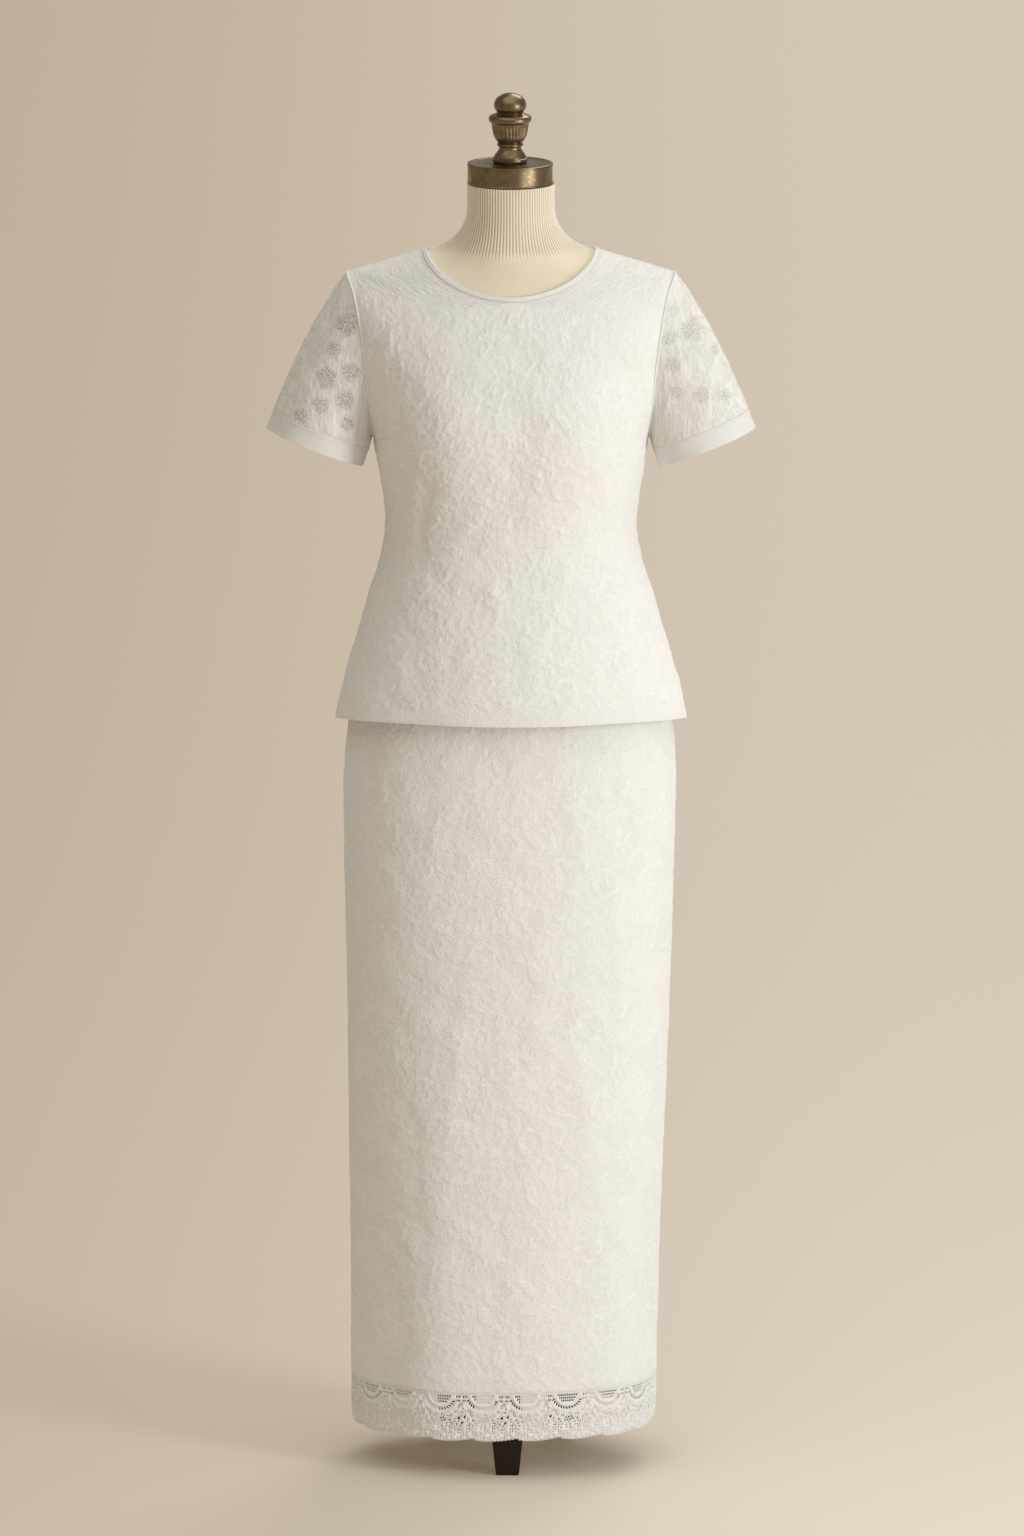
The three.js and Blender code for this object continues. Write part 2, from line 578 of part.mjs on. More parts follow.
// Elastic waistband, one ring round the waist.
function waistband() {
  const sheet = new Sheet();
  for (const half of [FRONT, BACK]) {
    sheet.grid(steps(1), SKIRT_COLUMNS, (u, row) => {
      const [side, s] = [Math.sign(u) || 1, Math.abs(u)];
      const outer = skirtPoint(half, side, s, lerp(SKIRT_TOP_Z, WAISTBAND_TOP_Z, row));
      return [outer, outer.clone().addScaledVector(skirtNormal(half, side, s, outer.z).setZ(0).normalize(), -ELASTIC_WALL)];
    }, half === BACK);
  }
  return sheet.wall();
}

// ---------------------------------------------------------------- the dress form
// The form's skin above the underarm lies a little inside the top's own face.
function formPoint(half, side, s, row) {
  if (row <= 1) return sided(sectionPoint(FORM, half, s, lerp(FORM_BOTTOM_Z, UNDERARM_Z, row)), side);
  const point = topPoint(half, side, s, row);
  return point.addScaledVector(normalOf(topPoint, half, side, s, row, row === SHOULDER_ROW), -FORM_INSET);
}

// The neck's skin: climb is 0 under the binding and 1 where the neck becomes a plain column.
function neckPoint(half, side, turn, climb) {
  const start = formPoint(half, side, 0, NECK_ROW + (SHOULDER_ROW - NECK_ROW) * turn);
  const angle = turn * Math.PI / 2;
  const round = (radius, z) => vector(side * radius * Math.sin(angle), half.sign * radius * Math.cos(angle), z);
  const rise = lerp(half === FRONT ? 26 : 2, 5, Math.sin(angle));
  const inward = start.clone().lerp(round(NECK.radius, start.z), half === FRONT ? lerp(0.35, 0.42, turn) : 0.42);
  inward.z += rise;
  const foot = round(NECK.radius + 1.5, lerp(start.z, NECK.columnZ, 0.32));
  return bezier([start, inward, foot, round(NECK.radius, NECK.columnZ)], climb);
}

function dressForm() {
  const sheet = new Sheet();
  const only = (point) => [point, point];
  const lowRows = FORM_LINES.map(({ z }) => (z - FORM_BOTTOM_Z) / (UNDERARM_Z - FORM_BOTTOM_Z));
  const chest = CHEST_ROWS.slice(1).filter((row) => row <= NECK_ROW);
  const shoulder = CHEST_ROWS.filter((row) => row >= NECK_ROW);
  const turns = steps(CHEST_STEPS / 2);
  for (const half of [FRONT, BACK]) {
    const flip = half === BACK;
    sheet.grid([...lowRows, ...chest], TOP_COLUMNS, (u, row) => only(formPoint(half, Math.sign(u) || 1, Math.abs(u), row)), flip);
    sheet.grid([0, 1], TOP_COLUMNS, (u, row) =>
      only(sided(sectionPoint(FORM, half, Math.abs(u), FORM_BOTTOM_Z).setComponent(2, FORM_BOTTOM_Z)
        .multiply(vector(row, row, 1)), Math.sign(u) || 1)), flip);
    for (const side of [-1, 1]) {
      const turned = flip !== (side < 0);
      sheet.grid(shoulder, SHOULDER_COLUMNS, (s, row) => only(formPoint(half, side, s, row)), turned);
      sheet.grid(steps(8), turns, (turn, climb) => only(neckPoint(half, side, turn, climb)), turned);
      sheet.grid([0, 1], turns, (turn, top) => only(neckPoint(half, side, turn, 1).setZ(lerp(NECK.columnZ, NECK.topZ, top))), turned);
      sheet.grid([1, 0], turns, (turn, share) => {
        const rim = neckPoint(half, side, turn, 1);
        return only(vector(rim.x * share, rim.y * share, NECK.topZ));
      }, turned);
      const middle = formPoint(FRONT, side, 1, 1).add(formPoint(FRONT, side, 1, SHOULDER_ROW)).multiplyScalar(0.5);
      sheet.grid(CHEST_ROWS, [1, 0.55, 0], (share, row) =>
        only(middle.clone().lerp(formPoint(half, side, 1, row), share)), turned);
    }
  }
  return sheet.solid();
}

function lathed(profile, segments = 40) {
  return new THREE.LatheGeometry(profile.map(({ r, z }) => new THREE.Vector2(r, z)), segments).rotateX(Math.PI / 2);
}

function neckCap() {
  const { radius, bottomZ, topZ, bevel } = CAP;
  return lathed([
    { r: 0, z: bottomZ }, { r: radius - bevel / 2, z: bottomZ }, { r: radius, z: bottomZ + bevel / 2 },
    { r: radius, z: topZ - bevel }, { r: radius - bevel, z: topZ }, { r: 0, z: topZ },
  ], 48);
}

const finial = () => lathed([{ r: 0, z: FINIAL_PROFILE[0].z }, ...FINIAL_PROFILE, { r: 0, z: FINIAL_TOP_Z }], 36);
const plainPost = (radius, bottomZ, topZ) =>
  lathed([{ r: 0, z: bottomZ }, { r: radius, z: bottomZ }, { r: radius, z: topZ }, { r: 0, z: topZ }], 32);

// One leg: rectangular sections square to its middle line, from the hub out and down to the foot.
function leg(reach) {
  const start = HUB.radius + SEAM_GAP;
  const line = LEG_LINE.map((row) => ({ ...row, at: vector(lerp(start, reach, row.out), 0, row.z) }));
  const rings = line.map(({ at, width, thick }, i) => {
    const before = line[Math.max(i - 1, 0)].at;
    const after = line[Math.min(i + 1, line.length - 1)].at;
    const along = i === 0 ? vector(1, 0, 0) : after.clone().sub(before).normalize();
    const square = i >= line.length - 3 ? vector(1, 0, 0) : vector(-along.z, 0, along.x);
    return [[1, 1], [1, -1], [-1, -1], [-1, 1]].map(([a, b]) =>
      at.clone().addScaledVector(square, a * thick / 2).add(vector(0, b * width / 2, 0)));
  });
  const sheet = new Sheet();
  const corners = [0, 1, 2, 3, 0];
  sheet.grid(rings, corners, (corner, ring) => [ring[corner], ring[corner]]);
  for (const [end, flip] of [[rings[0], true], [rings[rings.length - 1], false]]) {
    const [a, b, c, d] = end.map((p) => sheet.add(p));
    sheet.face(...(flip ? [a, c, b] : [a, b, c]));
    sheet.face(...(flip ? [a, d, c] : [a, c, d]));
  }
  return sheet.solid();
}

// ---------------------------------------------------------------- the scene graph
const material = (color, roughness, metalness = 0) => new THREE.MeshStandardMaterial({ color, roughness, metalness });
const CLOTH = material(COLOURS.cloth, 0.85);
const LACE = material(COLOURS.lace, 0.85);
const JERSEY = material(COLOURS.jersey, 0.9);
const BRASS = material(COLOURS.brass, 0.35, 1);
const STEEL = material(COLOURS.steel, 0.4, 1);
const WOOD = material(COLOURS.wood, 0.45);

function part(name, geometry, finish) {
  const mesh = new THREE.Mesh(geometry, finish);
  mesh.name = name;
  return mesh;
}

const top = new THREE.Group().add(
  part("top_front", topPanel(FRONT), CLOTH),
  part("top_back", topPanel(BACK), CLOTH),
  part("neck_binding", neckBinding(), CLOTH),
  part("sleeve_left", sleeve(-1), LACE),
  part("sleeve_right", sleeve(1), LACE),
  part("sleeve_band_left", sleeveBand(-1), CLOTH),
  part("sleeve_band_right", sleeveBand(1), CLOTH),
);

const skirt = new THREE.Group().add(
  part("skirt_waistband", waistband(), CLOTH),
  part("skirt_front", skirtPanel(FRONT), CLOTH),
  part("skirt_back", skirtPanel(BACK), CLOTH),
  part("lace_border_front", laceBorder(FRONT), LACE),
  part("lace_border_back", laceBorder(BACK), LACE),
);

const capAndFinial = new THREE.Group().add(
  part("neck_cap", neckCap(), BRASS),
  part("finial", finial(), BRASS),
);
capAndFinial.position.x = CAP.x;

const legs = new THREE.Group().add(...LEGS.map(({ name, angle, reach }) => {
  const mesh = part(name, leg(reach), WOOD);
  mesh.rotation.z = THREE.MathUtils.degToRad(angle);
  return mesh;
}));
legs.rotation.z = STAND_TURN;

const form = new THREE.Group().add(
  part("form_torso", dressForm(), JERSEY),
  capAndFinial,
  part("pole", plainPost(POLE.radius, HUB.topZ + SEAM_GAP, FORM_BOTTOM_Z - SEAM_GAP), STEEL),
  part("hub", plainPost(HUB.radius, HUB.bottomZ, HUB.topZ), WOOD),
  legs,
);

// The origin is on the floor under the middle of the whole object.
const puletasi = new THREE.Group().add(top, skirt, form);
puletasi.updateMatrixWorld(true);
const middle = new THREE.Box3().setFromObject(puletasi).getCenter(vector(0, 0, 0));
puletasi.position.set(-middle.x, -middle.y, 0);

export default puletasi;
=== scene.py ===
"""A white lace puletasi on a limbless dress form: a flared tunic with sheer sleeves over a long straight
skirt with a scalloped lace border.

Garment sizes are in millimetres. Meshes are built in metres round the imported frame."""
import math
from collections import namedtuple
from contextlib import contextmanager

import bmesh
import bpy
import numpy as np
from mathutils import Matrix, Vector
from mathutils.geometry import delaunay_2d_cdt
from mathutils.kdtree import KDTree


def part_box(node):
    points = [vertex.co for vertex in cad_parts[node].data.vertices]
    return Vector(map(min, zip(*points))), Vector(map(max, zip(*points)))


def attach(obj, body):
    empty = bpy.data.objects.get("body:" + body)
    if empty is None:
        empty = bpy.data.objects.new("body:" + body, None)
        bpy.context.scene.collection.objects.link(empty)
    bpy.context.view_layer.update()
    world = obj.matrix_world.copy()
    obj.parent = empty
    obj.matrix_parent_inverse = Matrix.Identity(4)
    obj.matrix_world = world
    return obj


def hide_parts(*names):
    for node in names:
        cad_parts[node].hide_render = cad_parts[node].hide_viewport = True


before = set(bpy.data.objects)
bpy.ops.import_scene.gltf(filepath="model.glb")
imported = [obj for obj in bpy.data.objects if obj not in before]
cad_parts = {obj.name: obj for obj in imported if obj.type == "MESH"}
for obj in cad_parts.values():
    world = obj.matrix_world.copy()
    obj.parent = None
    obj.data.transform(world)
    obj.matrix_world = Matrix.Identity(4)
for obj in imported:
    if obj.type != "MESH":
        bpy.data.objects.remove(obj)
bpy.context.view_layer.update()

bl_info = {
    "name": "Lace Puletasi",
    "version": (1, 0, 0),
    "blender": (4, 5, 0),
    "location": "View3D > Sidebar > Puletasi",
    "description": "Builds a white lace puletasi on a limbless dress form, with its stage",
    "category": "Add Mesh",
}

MM = 0.001
BODY = "root"


def middle_of(node):
    """The middle of a frame node, in metres."""
    low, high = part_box(node)
    return (low + high) / 2


# where the garment's own axis meets the floor, in millimetres from the frame's origin
POLE_AT = np.array(middle_of("pole") / MM) * (1, 1, 0)

# ------ the garment's sizes
SEAM_GAP = 0.3
ARMHOLE_GAP = 0.35
UNDERARM_Z = 1230
SHOULDER_TIP_Z = 1425
TOP_HEM_CENTRE_Z = 909
TOP_HEM_SIDE_Z = 892
FULLNESS = 0.6
BUST_X = 82
BUST_Z = 1258
BUST_RISE = 9
BUST_HALF_WIDTH = 56
BUST_ABOVE = 62
BUST_BELOW = 95
SKIRT_TOP_Z = 1097
WAISTBAND_TOP_Z = 1128
LACE_TOP_Z = 105
SKIRT_HEM_Z = 47
HEM_RISE = 20
HEM_RISE_POWER = 16
SLEEVE_BAND = 23
BINDING_WIDTH = 5.7
NECK_HALF_WIDTH = 98.5
NECK_Z = 1453
NECK_DROP_PER_OUT = 0.6
NECK_ROUNDNESS = 1.35
SHOULDER_FULLNESS = 0.34
ARMHOLE_SWING = math.radians(46)
ARMHOLE_LEAD = 0.64
NECK_ROW = 1.5
SHOULDER_ROW = 2
NECK_RADIUS = 51
NECK_COLUMN_Z = 1502
NECK_TOP_Z = 1529.7
FORM_INSET = 2.0

Half = namedtuple("Half", "name sign armhole_depth neck_drop")
FRONT = Half("front", -1, 52, 45.6)
BACK = Half("back", 1, 46, 9)

# Outline of the tunic: z, half width, depth in front, depth behind.
TOP_LINES = np.array([
    (892, 207.4, 152, 158), (931, 198.9, 147, 153), (990, 182, 137, 145), (1041, 167.4, 127, 134),
    (1086, 153.4, 119.5, 122), (1125, 147.6, 116.5, 115), (1170, 151.6, 121, 114), (1230, 162, 129, 116),
    (1290, 167, 123, 114), (1350, 173.5, 104, 104), (1402, 183, 83, 88), (1425, 192, 73, 78),
    (1440, 197, 63, 67), (1453, 201, 51, 53),
], float)

# Outline of the skirt: z, half width, depth in front, depth behind, middle.
SKIRT_LINES = np.array([
    (47, 180.6, 136, 134, -9), (192, 181.9, 134.5, 134.5, -7.8), (295, 183.7, 133, 135, -6.6),
    (430, 187.2, 131, 136, -4.8), (553, 190.3, 129.5, 137.5, -3), (738, 194.7, 128.5, 139.5, -2),
    (823, 195.6, 128, 140, -1.2), (879, 192, 126.5, 139, -0.6), (931, 185.5, 124.5, 136, 0),
    (990, 172.5, 121, 129, 0), (1041, 158.5, 116, 119, 0), (1097, 144.3, 110, 109.5, 0),
    (1128, 143.2, 108.5, 107.5, 0),
], float)


def by_half(kind, front, back):
    """A table of named rows for each half."""
    return {"front": [kind(*row) for row in front], "back": [kind(*row) for row in back]}


# Soft flutes: place across the panel (-1 and 1 are its side seams), height, width, where it starts.
Flute = namedtuple("Flute", "at height width from_z")
TOP_FLUTES = by_half(Flute, front=[
    (-0.66, 3.6, 0.1, 1110), (-0.36, -2.6, 0.12, 1090), (0.02, 2.2, 0.17, 1040), (0.4, -2.4, 0.12, 1080),
    (0.68, 3.2, 0.1, 1110),
], back=[
    (-0.6, 3.4, 0.12, 1100), (-0.25, -2.6, 0.12, 1060), (0.1, 3.0, 0.13, 1080), (0.45, -2.4, 0.11, 1070),
    (0.7, 2.8, 0.1, 1110),
])
SKIRT_FLUTES = by_half(Flute, front=[
    (-0.52, -3.4, 0.13, 690), (-0.26, 2.6, 0.13, 760), (0.22, -2.0, 0.16, 600), (0.56, 2.2, 0.14, 720),
], back=[
    (-0.5, 2.6, 0.14, 700), (-0.1, -3.0, 0.15, 780), (0.34, 2.8, 0.13, 640), (0.64, -2.2, 0.12, 560),
])

# Creases: x, z, lean in degrees from upright, half length, half width, height.
Crease = namedtuple("Crease", "x z lean long wide height")
TOP_CREASES = by_half(Crease, front=[
    (-116, 1165, 4, 62, 8, 1.5), (-101, 1150, 7, 50, 7, -1.2), (112, 1160, -6, 55, 8, 1.3),
    (96, 1142, -9, 46, 8, -1.0), (-60, 1120, 24, 46, 9, 0.9), (52, 1112, -28, 42, 9, 0.8),
    (-128, 1232, 38, 34, 7, 1.2), (130, 1228, -36, 32, 7, 1.1), (-150, 1330, 12, 40, 7, 1.1),
    (152, 1326, -14, 38, 7, 1.0), (8, 1215, 3, 60, 16, -1.1), (-20, 1055, -8, 58, 12, 0.8),
    (24, 990, 5, 60, 13, 0.9), (-70, 985, 6, 52, 11, -0.9),
], back=[
    (-96, 1150, 8, 55, 9, 1.5), (92, 1158, -7, 52, 9, 1.4), (-40, 1120, 74, 34, 8, 1.2),
    (46, 1106, -70, 36, 8, 1.2), (4, 1138, 86, 44, 9, -1.3), (-70, 1290, 30, 46, 10, 1.0),
    (74, 1284, -32, 44, 10, 1.0), (0, 1330, 2, 70, 18, -1.2),
])
SKIRT_CREASES = by_half(Crease, front=[
    (-66, 470, 6, 150, 13, 1.2), (-112, 360, -5, 120, 11, -1.1), (34, 610, 4, 140, 15, 0.9),
    (88, 430, -7, 130, 12, 1.0), (-18, 250, 5, 110, 14, -0.9), (124, 640, -4, 120, 10, 0.9),
    (-84, 790, 12, 70, 12, 0.9), (70, 800, -14, 66, 12, 0.9),
], back=[
    (-60, 560, -5, 150, 14, 1.2), (52, 420, 6, 140, 13, 1.2), (-110, 300, 5, 120, 12, -1.0),
    (112, 640, -5, 120, 12, 1.0), (-36, 800, 66, 50, 11, 1.2), (44, 786, -62, 50, 11, 1.1),
])
SLEEVE_CREASES = [  # turn round the arm in degrees, along, half length in turn, half width along, height
    (70, 0.3, 42, 0.07, 1.0), (112, 0.5, 34, 0.06, -0.8), (60, 0.72, 40, 0.07, 0.8),
    (250, 0.35, 44, 0.07, 1.0), (292, 0.6, 38, 0.06, -0.8), (18, 0.55, 16, 0.12, 1.0),
    (345, 0.5, 16, 0.12, 1.0),
]

SLEEVE_HEM_INNER = (174, 1194.5)
SLEEVE_HEM_OUTER = (287.5, 1240)
SLEEVE_HEM_HALF_DEPTH = 60
SLEEVE_BACK_DROP = 4
SLEEVE_LEAVES_SHOULDER = np.array((0.61, 0, -0.79))
SLEEVE_LEAVES_UNDERARM = np.array((0.3, 0, -0.95))


# ------ curves
def mix(a, b, t):
    return a + (b - a) * t


def smooth(x):
    x = np.clip(x, 0, 1)
    return x * x * (3 - 2 * x)


def bell(distance, width):
    return np.exp(-((distance / width) ** 2))


def unit(vectors):
    """Vectors scaled to a length of one."""
    return vectors / np.maximum(np.linalg.norm(vectors, axis=-1, keepdims=True), 1e-12)


def pairs(x, y):
    """Points from their two coordinates."""
    return np.stack((x, y), axis=1)


def run_along(points):
    """Distance run along a path, from nought at its first point."""
    return np.concatenate(([0], np.cumsum(np.linalg.norm(np.diff(points, axis=0), axis=-1))))


def column(table, key):
    """A smooth curve through one column of a table, by height."""
    z, value = table[:, 0], table[:, key]
    place = np.arange(len(z))
    low, high = np.maximum(place - 1, 0), np.minimum(place + 1, len(z) - 1)
    slope = (value[high] - value[low]) / (z[high] - z[low])

    def at(height):
        k = np.clip(np.searchsorted(z, height, side="right") - 1, 0, len(z) - 2)
        span = z[k + 1] - z[k]
        t = np.clip((height - z[k]) / span, 0, 1)
        return ((2 * t**3 - 3 * t**2 + 1) * value[k] + (t**3 - 2 * t**2 + t) * span * slope[k]
                + (3 * t**2 - 2 * t**3) * value[k + 1] + (t**3 - t**2) * span * slope[k + 1])
    return at


Outline = namedtuple("Outline", "side front back x")
TOP = Outline(column(TOP_LINES, 1), column(TOP_LINES, 2), column(TOP_LINES, 3), lambda z: 0 * z)
SKIRT = Outline(*(column(SKIRT_LINES, key) for key in (1, 2, 3, 4)))


def depth_of(lines, half, z):
    return (lines.front if half is FRONT else lines.back)(z)


def bezier(handles, s):
    """A point of a cubic curve; each handle is a tuple of coordinates."""
    r = 1 - s
    weights = (r**3, 3 * r * r * s, 3 * r * s * s, s**3)
    return tuple(sum(w * h[axis] for w, h in zip(weights, handles)) for axis in range(len(handles[0])))


def cubic(handles, t):
    """Points of cubic curves, from four arrays of handles."""
    a, b, c, d = handles
    r = 1 - t
    return r**3 * a + 3 * r * r * t * b + 3 * r * t * t * c + t**3 * d


def quarter(width, depth, fullness):
    """Handles of a quarter section, from its centre to its side."""
    nought = 0 * (width + depth)
    return [(nought, depth + nought), (fullness * width, depth + nought),
            (width + nought, fullness * depth), (width + nought, nought)]


def flute_at(table, half, across, z, hem_z):
    """How far a table's flutes push the cloth out."""
    total = 0 * (across + z)
    for row in table[half.name]:
        fall = smooth((row.from_z - z) / (row.from_z - hem_z))
        total = total + row.height * bell(across - row.at, row.width) * fall
    return total


def crease_at(table, half, points):
    """How far a table's creases push the cloth out: soft ridges and troughs along short leaning lines."""
    total = np.zeros(points.shape[:-1])
    for row in table[half.name]:
        lean = math.radians(row.lean)
        dx, dz = points[..., 0] - row.x, points[..., 2] - row.z
        along = dx * math.sin(lean) + dz * math.cos(lean)
        across = dx * math.cos(lean) - dz * math.sin(lean)
        total += row.height * bell(across, row.wide) * bell(along, row.long)
    return total


# ------ the tunic's surface
SHOULDER_TIP_X = float(TOP.side(np.array(float(SHOULDER_TIP_Z))))
SHOULDER_FALL = (NECK_Z - SHOULDER_TIP_Z) / (SHOULDER_TIP_X - NECK_HALF_WIDTH)


def armhole_turn(rise):
    return np.pi * (rise + ARMHOLE_LEAD * rise * (1 - rise))


def armhole_z(turn):
    return mix(UNDERARM_Z, SHOULDER_TIP_Z, (1 - np.cos(turn)) / 2)


def place_where(handles, inside):
    """The place along a curve where a test stops holding."""
    low, high = np.zeros_like(handles[0][0]), np.ones_like(handles[0][0])
    for _ in range(40):
        middle = (low + high) / 2
        held = inside(bezier(handles, middle))
        low, high = np.where(held, middle, low), np.where(held, high, middle)
    return np.where(low > 1 - 1e-9, 1.0, low)


def cut_at(handles, end, axis):
    """The part of a quarter section inside the armhole, stretched along the other axis to end on its edge."""
    if axis == "x":
        t = place_where(handles, lambda p: p[0] < end[0])
    else:
        t = place_where(handles, lambda p: np.abs(p[1]) > np.abs(end[1]))

    def between(p, q):
        return tuple(mix(a, b, t) for a, b in zip(p, q))

    a, b, c, d = handles
    ab, bc, cd = between(a, b), between(b, c), between(c, d)
    abc, bcd = between(ab, bc), between(bc, cd)
    last = between(abc, bcd)
    kept = [a, ab, abc, last]
    if axis == "x":
        stretch = (a[1] - end[1]) / (a[1] - last[1])
        return [(x, a[1] + (y - a[1]) * stretch) for x, y in kept]
    stretch = end[0] / last[0]
    return [(x * stretch, y) for x, y in kept]


def chest_section(half, z):
    """Handles of level sections of the upper body, from the centre line to the armhole or the shoulder."""
    up = np.clip((z - UNDERARM_Z) / (SHOULDER_TIP_Z - UNDERARM_Z), 0, 1)
    depth = half.sign * depth_of(TOP, half, z)
    fullness = mix(FULLNESS, SHOULDER_FULLNESS, smooth(up))
    ridge = quarter(NECK_HALF_WIDTH + (NECK_Z - z) / SHOULDER_FALL, depth, fullness)
    end = (TOP.side(z), half.sign * half.armhole_depth * 2 * np.sqrt(up * (1 - up)))
    swing = np.pi / 2 - ARMHOLE_SWING * np.sin(np.pi * up)
    reach = fullness * 0.75 * np.hypot(end[0], depth - end[1])
    opened = [(0 * z, depth), (fullness * end[0], depth),
              (end[0] - reach * np.cos(swing), end[1] + half.sign * reach * np.sin(swing)), end]
    under = cut_at(quarter(end[0], depth, fullness), end, "y")
    over = cut_at(ridge, end, "x")
    low, high = smooth(up / 0.5), smooth((up - 0.5) / 0.5)
    blend = [tuple(mix(mix(u, o, low), v, high) for u, o, v in zip(*rows))
             for rows in zip(under, opened, over)]
    return [tuple(np.where(up >= 1, r, b) for r, b in zip(*rows)) for rows in zip(ridge, blend)]


def neckline_spot(half, turn, out):
    """Height and place along its section of the neckline, a distance out from its inner edge."""
    inward = np.where(turn >= np.pi / 2 - 1e-9, 0, np.cos(turn))
    x = (NECK_HALF_WIDTH + out) * np.sin(turn)
    z = NECK_Z - SHOULDER_FALL * out \
        - (half.neck_drop + NECK_DROP_PER_OUT * out) * np.maximum(inward, 0) ** NECK_ROUNDNESS
    place = place_where(chest_section(half, z), lambda p: p[0] < x)
    return z, np.where(inward == 0, 1.0, np.where(turn <= 0, 0.0, place))


def neckline_point(half, turn, out):
    z, place = neckline_spot(half, turn, out)
    x, y = bezier(chest_section(half, z), place)
    return np.stack((x, y, z), axis=-1)


def bust_rise(half, x, z):
    if half is BACK:
        return 0 * z
    reach = np.where(z > BUST_Z, BUST_ABOVE, BUST_BELOW)
    return BUST_RISE * bell(x - BUST_X, BUST_HALF_WIDTH) * bell(z - BUST_Z, reach)


def lower_top(half, across, row):
    """The tunic's lower body: across from seam to seam, row from the hem (0) to the underarm (1)."""
    s, side = np.abs(across), np.where(across < 0, -1, 1)
    z = mix(mix(TOP_HEM_CENTRE_Z, TOP_HEM_SIDE_Z, s**3), UNDERARM_Z, row)
    width, depth = TOP.side(z), depth_of(TOP, half, z)
    x, y = bezier(quarter(width, half.sign * depth, FULLNESS), s)
    nx, ny = x / width**2, y / depth**2
    push = flute_at(TOP_FLUTES, half, side * s, z, TOP_HEM_SIDE_Z) / np.hypot(nx, ny)
    x, y = x + nx * push, y + ny * push
    return np.stack((side * x, y - bust_rise(half, x, z) * (1 - s**4), z), axis=-1)


def upper_top(half, across, row):
    """The tunic's chest or upper back: row from the underarm (1) by the neckline's middle (1.5) to the
    shoulder (2)."""
    s, side = np.abs(across), np.where(across < 0, -1, 1)
    rise, to_neck = row - 1, NECK_ROW - 1
    turn = np.maximum(rise - to_neck, 0) / (1 - to_neck) * np.pi / 2
    neck_z, neck_place = neckline_spot(half, turn, BINDING_WIDTH + ARMHOLE_GAP)
    start_z = mix(UNDERARM_Z, neck_z, np.minimum(rise / to_neck, 1))
    z = mix(start_z, armhole_z(armhole_turn(rise)), s)
    x, y = bezier(chest_section(half, z), mix(np.where(turn > 0, neck_place, 0), 1, s))
    bust = bust_rise(half, x, z) * (1 - s**4) * (SHOULDER_ROW - row)
    return np.stack((side * x, y - bust, z), axis=-1)


def top_grid(half, rows, places):
    """Points of the tunic's outer face for rows of one kind, below or above the underarm."""
    row, across = np.meshgrid(rows, places, indexing="ij")
    return (lower_top if rows[-1] <= 1 else upper_top)(half, across, row)


# ------ the sleeve's surface
def sleeve_lines(turn):
    """Handles of the lines that run down the right sleeve: turn goes from under the arm over the front."""
    depth = np.where(np.sin(turn) > 0, FRONT.armhole_depth, BACK.armhole_depth)
    up = (1 - np.cos(turn)) / 2
    z = armhole_z(turn)
    start = np.stack((TOP.side(z) + ARMHOLE_GAP, -depth * np.sin(turn), z), axis=-1)
    inner, outer = SLEEVE_HEM_INNER, SLEEVE_HEM_OUTER
    end = np.stack((mix(inner[0], outer[0], up), -SLEEVE_HEM_HALF_DEPTH * np.sin(turn),
                    mix(inner[1], outer[1], up) + SLEEVE_BACK_DROP * np.sin(turn)), axis=-1)
    axis = unit(np.array((outer[1] - inner[1], 0, inner[0] - outer[0])))
    leaves = unit(mix(SLEEVE_LEAVES_UNDERARM, SLEEVE_LEAVES_SHOULDER, up[..., None]))
    length = np.linalg.norm(end - start, axis=-1)[..., None]
    return [start, start + leaves * length / 3, end - axis * length / 3, end], length[..., 0]


def sleeve_point(turn, along, side):
    handles, _ = sleeve_lines(turn)
    return cubic(handles, along[..., None]) * np.array((side, 1, 1))


# ------ the skirt's surface
def skirt_point(half, across, z):
    s, side = np.abs(across), np.where(across < 0, -1, 1)
    width, depth = SKIRT.side(z), depth_of(SKIRT, half, z)
    x, y = bezier(quarter(width, half.sign * depth, FULLNESS), s)
    nx, ny = x / width**2, y / depth**2
    push = flute_at(SKIRT_FLUTES, half, side * s, z, SKIRT_HEM_Z) / np.hypot(nx, ny)
    return np.stack((side * (x + nx * push) + SKIRT.x(z), y + ny * push, z), axis=-1)


def skirt_hem_z(s):
    return SKIRT_HEM_Z + HEM_RISE * s**HEM_RISE_POWER


# ------ grids, arcs and shells
def even_places(curve, count):
    """Parameters from 0 to 1 that split a curve of points into even steps."""
    fine = np.linspace(0, 1, 801)
    run = run_along(curve(fine))
    return np.interp(np.linspace(0, run[-1], count + 1), run, fine)


def both_sides(places):
    return np.concatenate((-places[:0:-1], places))


def arcs(points, axis):
    """Distance run along one axis of a grid."""
    steps = np.linalg.norm(np.diff(points, axis=axis), axis=-1)
    start = np.zeros_like(np.take(steps, [0], axis=axis))
    return np.concatenate((start, np.cumsum(steps, axis=axis)), axis=axis)


def grid_normals(points, outward):
    """Unit normals of a grid, turned to agree with the outward directions."""
    normal = unit(np.cross(np.gradient(points, axis=1), np.gradient(points, axis=0)))
    return -normal if np.sum(normal * outward) < 0 else normal


def away_from_axis(points):
    return unit(points * np.array((1, 1, 0)))


def quads_of(index):
    """The corners of the faces of a grid, from its point numbers."""
    corners = (index[:-1, :-1], index[:-1, 1:], index[1:, 1:], index[1:, :-1])
    return np.stack(corners, axis=-1).reshape(-1, 4)


